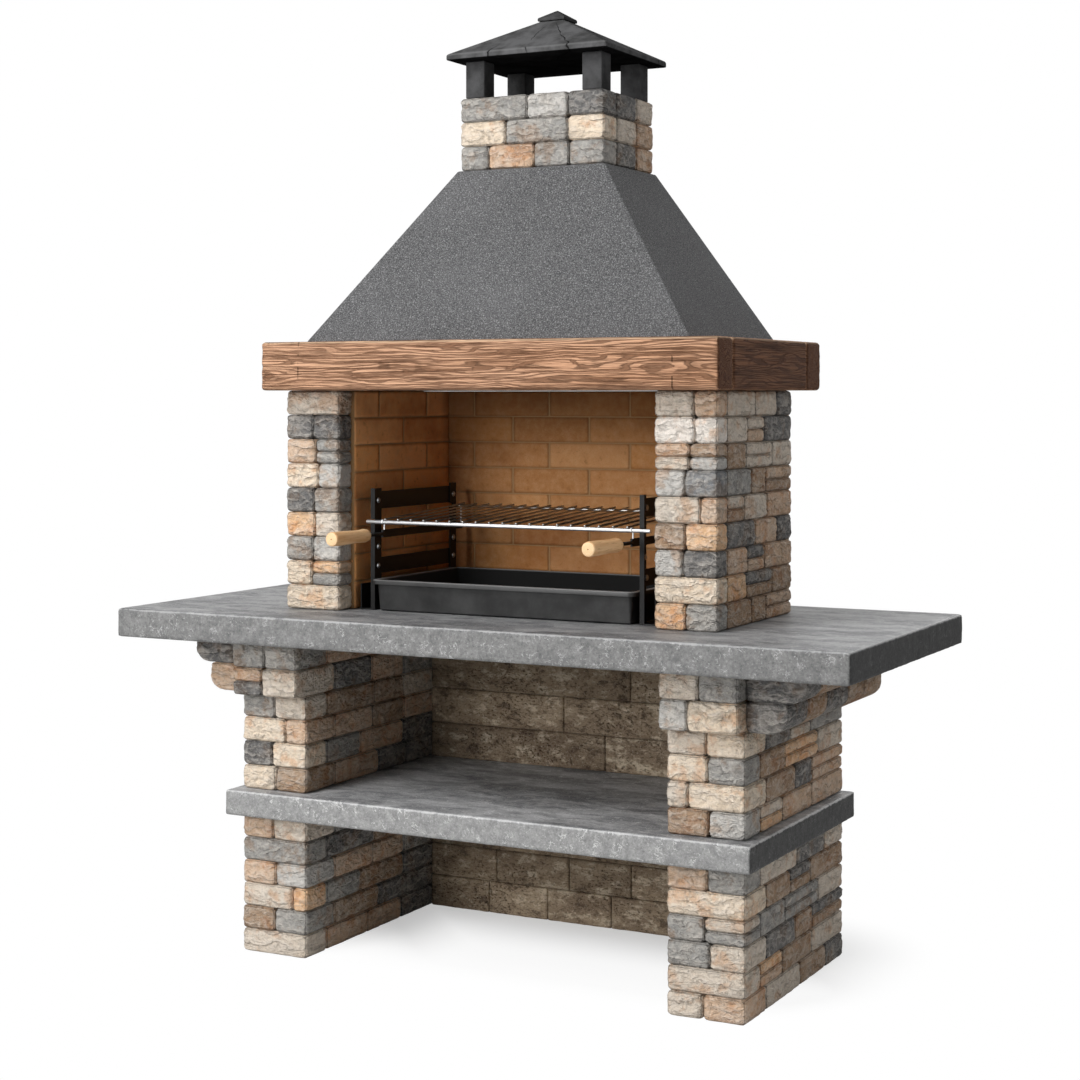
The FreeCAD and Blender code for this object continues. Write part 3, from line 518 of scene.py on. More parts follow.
# %% Stone finish
def seal(material, wire, colour, roughness, height, depth, **constants):
    """Close a finish: colour, roughness and a bump from a height."""
    bump = wire.node("ShaderNodeBump", Strength=1.0, Distance=depth, Height=height)
    shader = wire.node("ShaderNodeBsdfPrincipled", Base_Color=colour, Roughness=roughness, Normal=bump,
                       **constants)
    wire.node("ShaderNodeOutputMaterial", Surface=shader)
    print("Finish", material.name, "has", len(wire.tree.nodes), "nodes")
    return material


def reading(wire, name, out="Fac"):
    """An attribute that the weathering tree or the block left on the mesh."""
    return wire.node("ShaderNodeAttribute", {"attribute_name": name}, out=out)


def stone_finish():
    material, wire, place = new_finish("split_stone")
    height, foot, ridge_highlight, facets = split_face(reading(wire, "grain", "Vector"), 0.07)
    wash = cloud(place, 13, 4.0, 0.6)
    stain = cloud(place.vector("ADD", (7.3, 2.1, 4.7)), 20, 4.0, 0.6)
    chips = cloud(place, 90, 5.0, 0.68)
    grit = cloud(place, 300, 4.0, 0.7)
    grime = rise(reading(wire, "edge") + 0.5 * (chips - 0.5), 0.7, 1.05)
    colour = layered(reading(wire, "tone", "Color"),
                     (rise(wash, 0.45, 0.7), 0.28, "e2d8cc"),
                     (rise(wash, 0.45, 0.3), 0.3, "b8aa9c", "MULTIPLY"),
                     (rise(stain, 0.5, 0.64), 0.5, "e4b78c", "MULTIPLY"),
                     (rise(stain, 0.44, 0.32), 0.35, "cacccf", "MULTIPLY"),
                     (rise(facets, 0.45, 0.75), 0.2, "f0e8de"),
                     (rise(chips, 0.47, 0.3), 0.35, "8a7d71", "MULTIPLY"),
                     # painted shade below the ledges and a painted highlight on their tops
                     (foot, 0.32, "5a5046", "MULTIPLY"),
                     (ridge_highlight, 0.25, "f4ece2"),
                     (grime, 0.65, "40372e", "MULTIPLY"),
                     (rise(grit, 0.57, 0.7), 0.3, "efe8de"),
                     (rise(grit, 0.43, 0.3), 0.35, "6f655b", "MULTIPLY"))
    bumps = height + 1.6 * chips + 0.45 * grit
    return seal(material, wire, colour, 0.84 + 0.12 * grit, bumps, 0.006, Specular_IOR_Level=0.2)


STONE = stone_finish()

# %% Stone colours
TONES = {"w": "fbf2e8", "c": "f4e1c9", "b": "e2d4c3", "l": "cbc8c3", "g": "a3a19d", "d": "747372",
         "s": "85888b", "t": "dbbb9e", "o": "f3c99f", "n": "b0947a"}
# the left walls' sack leans to darker stones as painted shade on their shaded flanks, the right walls' sack to
# lighter ones as painted light
FLANK_SACKS = {"left": "ggddddtttnnnnnnnnbt", "right": "gggdddttttnnnnnnbbbbo", "chimney": "ggdddttnnb"}
# dark stones for the corbels' outer ends, as painted shade under the worktop
WING_SHADE_SACK = "nnd"

# one word for each course from the bottom, one letter for each front stone from the left
FRONT_TONES = {
    "left_leg_lower_stones": ("b", "ng", "bo", "tl", "g", "tb"),
    "right_leg_lower_stones": ("bt", "b", "gb", "ggb", "c", "tg"),
    "left_leg_upper_stones": ("cn", "dc", "ct", "gb"),
    "right_leg_upper_stones": ("nl", "bc", "cg", "bc"),
    "left_corbel_stones": ("tdtb", "dgg"),
    "right_corbel_stones": ("lcd", "bgd"),
    "left_pillar_stones": ("c", "cgo", "gl", "ob", "dg", "cl", "tgg", "dd", "b"),
    "right_pillar_stones": ("og", "c", "ld", "no", "bt", "ls", "btln", "ww", "bt"),
    "chimney_stones": ("gtgg", "cgc", "gld"),
}
front_count = sum(len(word) for words in FRONT_TONES.values() for word in words)
print(len(TONES), "tones for", front_count, "front stones")

# %% Choosing each stone's colour
FRONT_DEPTH = 0.05
UNDERCUT = 0.048
SAME_END = 0.002


def undercut_wings(course):
    """Mark the corbel stones at the outer end of a course."""
    reach = max(max(-stone.low.x, stone.high.x) for stone in course)
    for stone in course:
        stone.side = math.copysign(1.0, stone.low.x + stone.high.x)
        if max(-stone.low.x, stone.high.x) > reach - SAME_END:
            stone.undercut = UNDERCUT


def colour_stones(node, luck):
    """The stones of a wall with their colours, the front ones by their place in the course."""
    stones = blocks_of(node)
    words = FRONT_TONES[node]
    sack = FLANK_SACKS[node.split("_")[0]]
    low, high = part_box(node)
    course_height = (high.z - low.z) / len(words)
    for number, word in enumerate(words):
        foot = low.z + number * course_height
        course = [stone for stone in stones if 0 <= (stone.low.z + stone.high.z) / 2 - foot < course_height]
        front = [stone for stone in course if stone.low.y < low.y + FRONT_DEPTH]
        front.sort(key=lambda stone: (round(stone.low.x, 3), stone.low.z))
        for stone in course:
            stone.tone = tint(TONES[luck.choice(sack)])
        for stone, letter in zip(front, word):
            stone.tone = tint(TONES[letter])
        if "corbel" in node:
            undercut_wings(course)
            for stone in course:
                if stone.undercut and stone not in front:
                    # painted shade: the corbels' outer end stones take dark tones
                    stone.tone = tint(TONES[luck.choice(WING_SHADE_SACK)])
    return stones


print(len(colour_stones("chimney_stones", random.Random(0))), "stones in the chimney")

# %% [markdown]
# ## Running the tree
# A tree runs as a modifier on a start object. Its inputs are set by their identifiers before anything is
# worked out, the result is kept as a plain mesh, and the start object goes. So only finished pieces are
# left, each at the origin with its place in its mesh.

# %% Stone walls
def run_tree(name, mesh, tree, **inputs):
    """Run a Geometry Nodes tree on a mesh and keep what it makes as a plain piece."""
    start = placed(name + "_start", mesh)
    maker = start.modifiers.new("maker", "NODES")
    maker.node_group = tree
    for socket in tree.interface.items_tree:
        key = socket.name.replace(" ", "_").lower()
        if socket.in_out == "INPUT" and key in inputs:
            maker[socket.identifier] = inputs[key]
    depsgraph = bpy.context.evaluated_depsgraph_get()
    made = bpy.data.meshes.new_from_object(start.evaluated_get(depsgraph), preserve_all_data_layers=True,
                                           depsgraph=depsgraph)
    start.modifiers.remove(maker)
    bpy.data.objects.remove(start)
    made.name = name
    return placed(name, made)


def fit(piece, body, slot, *nodes):
    """Let a piece ride on its body and stand for its nodes."""
    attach(piece, body)
    if nodes:
        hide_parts(*nodes)


def weathered(name, blocks, finish, slot, nodes, cell, level=2, seed=1, **sizes):
    """Dress blocks and fit them in place of their nodes."""
    mesh = coarse_wall(name + "_coarse", blocks, cell, random.Random(seed))
    settings = {"ledge": 0.0, "flat_beds": 0.0}
    settings.update(sizes)
    piece = run_tree(name, mesh, WEATHERING, level=level, finish=finish, **settings)
    print(name, len(blocks), "blocks,", len(piece.data.polygons), "faces")
    fit(piece, "masonry", slot, *nodes)


STONE_SIZES = {"cell": 0.024, "round": 0.0095, "relief": 0.003, "ledge": 1.0, "flat_beds": 1.0,
               "pattern": (13, 13, 22)}
for seed, wall in enumerate(FRONT_TONES, start=11):
    weathered(wall.replace("_stones", "_dressed"), colour_stones(wall, random.Random(seed)), STONE,
              "split_stone", [wall], seed=seed, **STONE_SIZES)

# %% [markdown]
# ## Slate slabs
# Worktop and shelf are thick slabs of dark grey slate. Their tops are smooth with long slanting streaks, the
# sawn fronts are paler and flecked, and the top edges are pale, as bare stone in chips and as a painted
# highlight. The ends are darkened as painted shade and the shelf is lightened as painted light. The
# weathering tree chips the edges, and the finish asks it which faces look up and where the edges are.

# %% Slate finish
STREAK_SLANT = math.radians(24)


def slate_finish():
    material, wire, place = new_finish("slate_slab")
    bent = place.vector("ADD", cloud(place, 7, 3.0).out("Color").vector("MULTIPLY", (0.12, 0.12, 0.12)))
    slanted = wire.node("ShaderNodeMapping", Vector=bent, Rotation=(0, 0, STREAK_SLANT),
                        Scale=(1.0, 3.4, 3.0))
    streak = cloud(slanted, 4.5, 8.0, 0.72)
    mottle = cloud(place, 46, 5.0, 0.72)
    grit = cloud(place, 190, 5.0, 0.78)
    facing_up = reading(wire, "upward")
    upward = rise(facing_up, 0.2, 0.8)
    endward = rise(reading(wire, "endward"), 0.4, 0.9)
    vein = (cloud(bent, 70, 4.0) - 0.5).math("ABSOLUTE")
    hair = rise(vein, 0.026, 0.0) * rise(cloud(place, 36, 3.0), 0.53, 0.6)
    # pale top edges: worn stone and a painted highlight
    chips_and_highlight = rise(reading(wire, "edge") + 2.4 * (mottle - 0.5), 0.45, 0.85) * rise(facing_up, 0.1, 0.5)
    sawn = blend(rise(mottle, 0.3, 0.7), tint("6e6e6e"), tint("8a8a89"))
    top = blend(rise(streak, 0.36, 0.66), tint("5e5f61"), tint("a2a2a3"))
    colour = layered(blend(upward, sawn, top),
                     (rise(grit, 0.47, 0.34), 0.6, "4a4b4b"),
                     (rise(grit, 0.55, 0.66), 0.5, "b4b4b3"),
                     (hair, 0.58, "d6d6d5"),
                     # painted shade on the faces that look along X, the slab ends
                     (endward, 0.8, "555556", "MULTIPLY"),
                     # worn stone and a painted highlight along the top edges
                     (chips_and_highlight, 0.42, "cdcdcc"))
    # the tone carries each slab's painted light: the shelf is lightened
    colour = colour.vector("MULTIPLY", reading(wire, "tone", "Color"))
    rough = 0.92 - 0.48 * upward + 0.25 * (mottle - 0.5)
    return seal(material, wire, colour, rough, 0.5 * mottle + 0.6 * grit, 0.0022, Specular_IOR_Level=0.22)


SLATE = slate_finish()

# %% Slabs
SLAB_SIZES = {"cell": 0.032, "round": 0.006, "relief": 0.0016, "flat_beds": 0.7,
              "pattern": (26, 26, 26)}
# the shelf's slate is lightened as painted light, to make up for the shade under the worktop
SLAB_PAINTED_LIGHT = {"worktop_slab": 0.97, "shelf_slab": 1.4}
for seed, (slab, shade) in enumerate(SLAB_PAINTED_LIGHT.items(), start=31):
    slab_blocks = blocks_of(slab)
    for block in slab_blocks:
        block.tone = (shade, shade, shade, 1.0)
    weathered(slab.replace("_slab", "_slate"), slab_blocks, SLATE, "slate_slab", [slab], seed=seed,
              **SLAB_SIZES)

# %% [markdown]
# ## Cast panels and rear wall
# The base is closed at the back by cast panels in level bands, blotched and pitted like old travertine, and
# the wall behind the hearth is cast in the same way. Each band is broken into weathered blocks of slightly
# different shades around a thin core, so the joints between them are shaded but never open.

# %% Cast finish
def cast_finish():
    material, wire, place = new_finish("cast_panel")
    drawn = place.vector("MULTIPLY", (0.7, 1.0, 1.3))
    bed = cloud(drawn, 8, 4.0, 0.6)
    blotch = cloud(drawn.vector("ADD", (4, 8, 1)), 24, 6.0, 0.74)
    mottle = cloud(drawn, 52, 5.0, 0.72)
    grit = cloud(place, 220, 4.0, 0.7)
    cluster = rise(cloud(drawn.vector("ADD", (9, 5, 6)), 14, 3.0), 0.45, 0.62)
    pit = rise(cloud(drawn.vector("ADD", (3, 1, 2)), 130, 6.0, 0.78), 0.46, 0.36) * (0.35 + 0.65 * cluster)
    colour = layered(blend(rise(bed, 0.32, 0.68), tint("8d7a66"), tint("b5a188")),
                     (rise(blotch, 0.52, 0.62), 0.8, "dccbb2"),
                     (rise(blotch, 0.46, 0.37), 0.75, "5c4d41"),
                     (rise(mottle, 0.47, 0.34), 0.5, "5c4a3a"),
                     (pit, 0.6, "33281f"),
                     (rise(grit, 0.56, 0.68), 0.5, "e4d8c6"))
    colour = colour.vector("MULTIPLY", reading(wire, "tone", "Color"))
    height = 0.6 * blotch + mottle - 0.7 * pit + 0.3 * grit
    return seal(material, wire, colour, 0.9, height, 0.005, Specular_IOR_Level=0.2)


CAST = cast_finish()

# %% Bands of blocks
BAND_HEIGHT = 0.09
BAND_JOINT = 0.0014
BREAK_SHIFT = 0.3
BAND_SHADES = (0.8, 1.15)
CORE_INSET = Vector((0.003, 0.007, 0.003))
PANEL_BLOCKS = {"lower_back_panel": 5, "upper_back_panel": 2}
REAR_WALL_BLOCKS = 3


def panel_bands(low, high, count, luck):
    """The bands of a panel, broken into so many blocks each, and the core behind their joints."""
    band_count = round((high.z - low.z) / BAND_HEIGHT)
    pitch = (high.z - low.z) / band_count
    bands = []
    for number in range(band_count):
        foot = low.z + number * pitch
        steps = [step + luck.uniform(-BREAK_SHIFT, BREAK_SHIFT) for step in range(1, count)]
        breaks = [low.x] + [low.x + (high.x - low.x) * step / count for step in steps] + [high.x]
        for start, end in zip(breaks, breaks[1:]):
            shade = luck.uniform(*BAND_SHADES)
            bands.append(Block(Vector((start, low.y, foot)),
                               Vector((end - BAND_JOINT, high.y, foot + pitch - BAND_JOINT)),
                               (shade, shade, shade, 1.0)))
    return bands + [Block(low + CORE_INSET, high - CORE_INSET)]


def rear_wall_bands(luck):
    """A panel behind the hearth's lining and a cheek at each side of the lining, all in the same bands."""
    low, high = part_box("hearth_rear_wall")
    lining_low, lining_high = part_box("firebrick_back_lining")
    bands = panel_bands(Vector((low.x, lining_high.y, low.z)), high, REAR_WALL_BLOCKS, luck)
    bands += panel_bands(low, Vector((lining_low.x, lining_high.y, high.z)), 1, luck)
    right_low = Vector((lining_high.x, low.y, low.z))
    return bands + panel_bands(right_low, Vector((high.x, lining_high.y, high.z)), 1, luck)


CAST_SIZES = {"cell": 0.03, "round": 0.0026, "relief": 0.0022, "ledge": 0.3, "pattern": (14, 14, 30)}
for seed, (panel, count) in enumerate(PANEL_BLOCKS.items(), start=41):
    weathered(panel.replace("_panel", "_cast"), panel_bands(*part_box(panel), count, random.Random(seed)), CAST,
              "cast_panel", [panel], seed=seed, **CAST_SIZES)
weathered("hearth_rear_cast", rear_wall_bands(random.Random(43)), CAST, "cast_panel", ["hearth_rear_wall"],
          seed=43, **CAST_SIZES)

# %% [markdown]
# ## Firebrick hearth
# The hearth is lined with tan firebricks in running bond. Each brick is drawn in a little from its
# neighbours, and a mortar bed stands just behind the faces, so the joints come out thin and slightly
# recessed. The top of the back wall is darkened as painted shadow under the beam.

# %% Brick and mortar finishes
# heights over which painted shadow of the beam darkens the back wall
BEAM_SHADOW_FROM = 1.18
BEAM_SHADOW_FULL = 1.42
BACK_FROM = 0.26
BACK_FULL = 0.3


def brick_finish():
    material, wire, place = new_finish("firebrick")
    smoke = cloud(place, 5, 4.0, 0.6)
    mottle = cloud(place, 42, 6.0, 0.7)
    grit = cloud(place, 380, 3.0, 0.7)
    parts = place.split()
    # painted shadow of the beam over the top of the back wall
    high_up = rise(parts.out("Z") + 0.2 * (smoke - 0.5), BEAM_SHADOW_FROM, BEAM_SHADOW_FULL)
    beam_shadow = high_up * rise(parts.out("Y"), BACK_FROM, BACK_FULL)
    worn_edge = rise(reading(wire, "edge") + 0.8 * (mottle - 0.5), 0.4, 1.0)
    colour = layered(reading(wire, "tone", "Color"),
                     (rise(mottle, 0.4, 0.7), 0.35, "dcb082"),
                     (rise(smoke, 0.45, 0.7), 0.4, "a87846", "MULTIPLY"),
                     # painted shadow under the beam
                     (beam_shadow, 0.62, "94806a", "MULTIPLY"),
                     (rise(mottle, 0.44, 0.3), 0.4, "8a5d36"),
                     (rise(grit, 0.42, 0.28), 0.7, "6f4c2d"),
                     (worn_edge, 0.3, "7a5533"))
    return seal(material, wire, colour, 0.9, 0.6 * mottle + 0.4 * grit, 0.0016, Specular_IOR_Level=0.2)


def mortar_finish():
    material, wire, place = new_finish("hearth_mortar")
    grit = cloud(place, 300, 4.0, 0.7)
    return seal(material, wire, blend(grit, tint("9a7650"), tint("bb9468")), 0.95, grit, 0.0008)


BRICK = brick_finish()
MORTAR = mortar_finish()

# %% Linings
BRICK_TONES = ("c68e5b", "bd8554", "ca9361", "b67f4f", "c68c56")
BRICK_JOINT = 0.0007
MORTAR_BACK = 0.0008
MORTAR_INSET = Vector((0.0005, 0.0005, 0.0005))
HEARTH_PATTERN = (30, 30, 30)


def line_hearth(node, axis, face, seed, shade=1.0):
    """Bricks and mortar of one lining; its bricks run along one axis and show their face at one side."""
    luck = random.Random(seed)
    bricks = blocks_of(node)
    gap = Vector((BRICK_JOINT, BRICK_JOINT, BRICK_JOINT))
    gap[1 - axis] = 0
    for brick in bricks:
        brick.low = brick.low + gap
        brick.high = brick.high - gap
        # shade scales the brick colours; above 1 it is painted light
        brick.tone = tuple(shade * share for share in tint(luck.choice(BRICK_TONES)))
    weathered(node.replace("lining", "bricks"), bricks, BRICK, "firebrick", [node], cell=0.034, seed=seed,
              round=0.0016, relief=0.0008, pattern=HEARTH_PATTERN)
    low, high = [corner.copy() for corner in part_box(node)]
    shown = low if face > 0 else high
    shown[1 - axis] += MORTAR_BACK * face
    bed = Block(low + MORTAR_INSET, high - MORTAR_INSET)
    weathered(node.replace("lining", "mortar"), [bed], MORTAR, "firebrick", [], cell=0.06, level=1, seed=seed,
              round=0.0008, relief=0.0004, pattern=HEARTH_PATTERN)


# the left lining's bricks are lightened as painted light on its shaded face
line_hearth("firebrick_left_lining", 1, -1, 51, 1.6)
line_hearth("firebrick_right_lining", 1, 1, 52)
line_hearth("firebrick_back_lining", 0, 1, 53)

# %% [markdown]
# ## Timber ring
# The pillars carry a ring of heavy weathered beams. The wood is brushed, so the soft grain is worn back and
# the hard lines stand out. Noise stretched along the beam bends level lines into a wandering figure, thin
# dark lines follow it, and dark knots sit along the heart. The same lines drive colour and bump. Broken
# marks near the ends of the long beams show where the side beams meet them.

# %% Timber finish
BUTT_JOINT = 0.505
BUTT_WIDTH = 0.003
HEART_WANDER = 0.04
BEAM_HEART = sum(corner.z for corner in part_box("front_beam")) / 2
KNOT_HALF = 0.011
LINE_RATE = 34.0


def timber_finish(name, along, across):
    """Weathered wood whose grain runs along one axis."""
    material, wire, place = new_finish(name)
    parts = reading(wire, "grain", "Vector").split()
    flow = wire.node("ShaderNodeCombineXYZ", X=parts.out(along), Y=parts.out(across), Z=parts.out("Z"))
    run = wire.node("ShaderNodeCombineXYZ", X=parts.out(along))
    fibre = cloud(flow.vector("MULTIPLY", (1.0, 7.0, 7.0)), 2.2, 6.0, 0.75)
    patch = cloud(flow, 0.5, 3.0)
    bow = cloud(flow, 0.8, 1.0) + 0.35 * cloud(flow.vector("MULTIPLY", (2.5, 1.4, 1.4)), 1.0, 1.0)
    figure = parts.out("Z") + 0.5 * parts.out(across) + 2.2 * bow + 0.16 * fibre
    line = (figure * LINE_RATE).math("SINE") * 0.5 + 0.5
    dark = rise(line, 0.62, 0.9) * rise(fibre, 0.36, 0.52) * (0.5 + 0.5 * rise(patch, 0.3, 0.5))
    off_heart = place.split().out("Z") - BEAM_HEART + HEART_WANDER * (cloud(run, 2.2, 2.0) - 0.5)
    knot = rise(cloud(run, 5.0, 1.0), 0.54, 0.64)
    eye = rise(off_heart.math("ABSOLUTE") + 0.02 * (fibre - 0.5), KNOT_HALF, 0.2 * KNOT_HALF) * knot
    upward = rise(reading(wire, "upward"), 0.0, 0.6)
    # painted highlight along the upward-facing edges
    edge_highlight = rise(reading(wire, "edge") + 0.5 * (fibre - 0.5), 0.3, 0.8) * upward
    colour = layered(blend(rise(fibre, 0.38, 0.6), tint("946a50"), tint("cca182")),
                     (rise(patch, 0.5, 0.7), 0.3, "b07c58"),
                     (dark, 0.72, "5c3d2a"),
                     (eye, 0.6, "4e3322"),
                     (rise(fibre, 0.41, 0.34), 0.85, "3a2414"),
                     # painted highlight on the top edges
                     (edge_highlight, 0.6, "e2c3a2"),
                     # painted shade on faces that look along X: the long beams' ends and the side beams' flanks
                     (rise(reading(wire, "endward"), 0.4, 0.9), 0.85, "80695a", "MULTIPLY"))
    if name == "long_timber":
        away = (place.split().math("ABSOLUTE") - BUTT_JOINT).math("ABSOLUTE")
        joint = rise(away + 0.01 * (fibre - 0.5), BUTT_WIDTH, BUTT_WIDTH / 3)
        joint = joint * rise(cloud(place, 38, 2.0), 0.5, 0.58)
        colour = layered(colour, (joint, 0.8, "3a2414"))
    height = 0.5 * (1 - dark) + 0.8 * rise(fibre, 0.32, 0.5)
    return seal(material, wire, colour, 0.75 + 0.2 * fibre, height, 0.0035, Specular_IOR_Level=0.15)


LONG_TIMBER = timber_finish("long_timber", "X", "Y")
SIDE_TIMBER = timber_finish("side_timber", "Y", "X")

# %% Beams
LONG_GRAIN = (2.4, 24, 24)
SIDE_GRAIN = (24, 2.4, 24)
BEAMS = {"front_beam": (LONG_TIMBER, LONG_GRAIN), "rear_beam": (LONG_TIMBER, LONG_GRAIN),
         "left_beam": (SIDE_TIMBER, SIDE_GRAIN), "right_beam": (SIDE_TIMBER, SIDE_GRAIN)}
for seed, (beam, (wood, grain)) in enumerate(BEAMS.items(), start=61):
    weathered(beam.replace("_beam", "_timber"), blocks_of(beam), wood, "beam_timber", [beam], seed=seed,
              cell=0.02, round=0.01, relief=0.003, flat_beds=1.0, pattern=grain)

# %% [markdown]
# ## Hood and cap
# The hood is a plain frustum rendered in dark granular plaster, and the cap over the chimney is cast in
# charcoal concrete, its roof paler and cracked from the top down, with a painted highlight along its fascia
# and painted shade below. Their shapes are right in the frame, so they need only the small soft edges that
# catch the light: a copy of the node is merged, its flat triangles are joined into whole faces, and the
# sharp edges get a narrow bevel.

# %% Render and concrete finishes
FASCIA = 0.0145
# half width of the painted highlight at the fascia
HIGHLIGHT_HALF = 0.004
# height of the band of painted shade under the roof
ROOF_SHADE_BAND = 0.003
MARK_EDGE = 0.001
ROOF_CRACKS = 12


def hood_finish():
    material, wire, place = new_finish("hood_render")
    grain = cloud(place, 330, 2.0, 0.7)
    colour = layered(blend(rise(grain, 0.36, 0.62), tint("3e3e3f"), tint("6c6c6d")),
                     (rise(cloud(place, 4, 3.0), 0.4, 0.7), 0.15, "78787a"),
                     (rise(grain, 0.6, 0.68), 0.6, "adadae"))
    bumps = 0.6 * grain + 0.4 * cloud(place, 120, 4.0, 0.65)
    return seal(material, wire, colour, 0.88, bumps, 0.003, Specular_IOR_Level=0.2)


def roof_marks(place, colour, height):
    """A painted highlight at the roof's fascia, cracks that run down from its top, and painted shade below."""
    low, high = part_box("cap_roof")
    parts = place.split()
    # painted highlight along the top edge of the fascia
    edge_highlight = rise((parts.out("Z") - low.z - FASCIA).math("ABSOLUTE"), HIGHLIGHT_HALF, MARK_EDGE)
    turn = (parts.out("Y") - (low.y + high.y) / 2).math("ARCTAN2", parts)
    wobble = 0.9 * cloud(place, 6, 3.0) + 0.12 * cloud(place, 45, 2.0)
    away = ((turn * (ROOF_CRACKS / math.tau) + wobble).math("FRACT") - 0.5).math("ABSOLUTE")
    crack = rise(away, 0.02, 0.006) * rise(cloud(place, 9, 2.0), 0.44, 0.54)
    # painted shade on the roof's underside
    painted_shade = rise(parts.out("Z"), low.z + ROOF_SHADE_BAND, low.z + MARK_EDGE)
    colour = layered(colour, (edge_highlight, 0.3, "7c7c7c"), (crack, 0.85, "0e0e0e"), (painted_shade, 0.92, "060606"))
    return colour, height - 0.8 * crack


def cap_finish(name, dark, light, is_roof):
    """Charcoal concrete, flecked or with the marks of the roof."""
    material, wire, place = new_finish(name)
    wash = cloud(place, 16, 5.0, 0.62)
    grit = cloud(place, 260, 4.0, 0.7)
    colour = blend(rise(wash, 0.34, 0.68), tint(dark), tint(light))
    height = 0.6 * wash + 0.3 * grit
    if is_roof:
        colour, height = roof_marks(place, colour, height)
    else:
        colour = layered(colour, (rise(grit, 0.6, 0.72), 0.35, "6a6a6a"))
    return seal(material, wire, colour, 0.75 + 0.2 * wash, height, 0.003, Specular_IOR_Level=0.0)


CAP = cap_finish("cap_concrete", "383838", "4e4e4f", False)
CAP_ROOF = cap_finish("cap_roof_concrete", "424242", "606061", True)

# %% Hood and cap pieces
def finished_mesh(shape, name, finish=None):
    """The plain mesh of an edited shape."""
    mesh = bpy.data.meshes.new(name)
    shape.to_mesh(mesh)
    shape.free()
    if finish:
        mesh.materials.append(finish)
    return mesh


def softened(node, finish, slot, body="masonry", width=0.001, segments=2):
    """A copy of a node with its sharp edges beveled."""
    shape = bmesh.new()
    shape.from_mesh(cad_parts[node].data)
    bmesh.ops.remove_doubles(shape, verts=shape.verts, dist=1e-6)
    bmesh.ops.dissolve_limit(shape, angle_limit=math.radians(1), verts=shape.verts, edges=shape.edges)
    sharp = [edge for edge in shape.edges if edge.is_manifold and edge.calc_face_angle() > math.radians(25)]
    bmesh.ops.bevel(shape, geom=sharp, offset=width, segments=segments, profile=0.5, affect="EDGES",
                    clamp_overlap=True)
    piece = placed(node + "_soft", finished_mesh(shape, node + "_soft", finish))
    fit(piece, body, slot, node)
    print(piece.name, "has", len(piece.data.polygons), "faces")


softened("hood_shell", hood_finish(), "hood_render", width=0.004)
softened("cap_posts", CAP, "cap_concrete", width=0.003)
softened("cap_roof", CAP_ROOF, "cap_concrete", width=0.0035, segments=3)
softened("cap_finial", CAP, "cap_concrete", width=0.002)

# %% [markdown]
# ## Steel rack
# The rack is black satin steel: notched angle uprights, flat rails and base angles. Its bolts have bright
# domed heads. One dome and one nut are turned once, and Geometry Nodes set them wherever the frame has
# a bolt.

# %% Metals
STEEL_EDGE = 0.0006


def black_steel_finish():
    material, wire, place = new_finish("black_steel")
    smear = cloud(place, 30, 4.0, 0.6)
    colour = blend(rise(smear, 0.35, 0.75), tint("080808"), tint("111111"))
    grit = cloud(place, 700, 2.0, 0.6)
    return seal(material, wire, colour, 0.3 + 0.2 * smear, grit, 0.0002, Specular_IOR_Level=0.2)


def bright_finish(name, dark, light, smooth):
    material, wire, place = new_finish(name)
    smear = cloud(place, 45, 4.0, 0.6)
    colour = blend(smear, tint(dark), tint(light))
    return seal(material, wire, colour, smooth + 0.2 * smear, smear, 0.0002, Metallic=1.0)


BLACK_STEEL = black_steel_finish()
ZINC = bright_finish("zinc_fastener", "8d8f92", "b9bbbd", 0.25)
CHROME = bright_finish("grate_chrome", "cacbcd", "ececed", 0.36)
# a darker copy of the chrome for the bars and the rear rod, as painted shade
SHADED_CHROME = bright_finish("burnt_chrome", "66635f", "c0bebb", 0.26)
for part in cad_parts:
    if part.endswith(("_upright", "_rail", "_base_angle")):
        softened(part, BLACK_STEEL, "black_steel", width=STEEL_EDGE)

# %% Turned forms
DOME = ((0.0, 0.0072), (0.001, 0.0072), (0.0024, 0.0062), (0.0036, 0.0044), (0.0044, 0.0022),
        (0.0047, 0.0006))
NUT = ((0.0, 0.0058), (0.0006, 0.0075), (0.0054, 0.0075), (0.006, 0.0058))


def close_rings(shape, rings):
    """Bridge rings of points in order and close both ends."""
    for near, far in zip(rings, rings[1:]):
        for number in range(len(near)):
            following = (number + 1) % len(near)
            shape.faces.new((near[number], near[following], far[following], far[number]))
    shape.faces.new(reversed(rings[0]))
    shape.faces.new(rings[-1])
    bmesh.ops.recalc_face_normals(shape, faces=shape.faces)


def lathe(name, profile, steps):
    """A closed form turned about X from points of x and radius."""
    shape = bmesh.new()
    turns = [math.tau * step / steps for step in range(steps)]
    rings = [[shape.verts.new((along, radius * math.cos(turn), radius * math.sin(turn))) for turn in turns]
             for along, radius in profile]
    close_rings(shape, rings)
    return finished_mesh(shape, name)


dome_form = lathe("dome", DOME, 20)
nut_form = lathe("nut", NUT, 6)
print("Dome of", len(dome_form.polygons), "faces and nut of", len(nut_form.polygons))


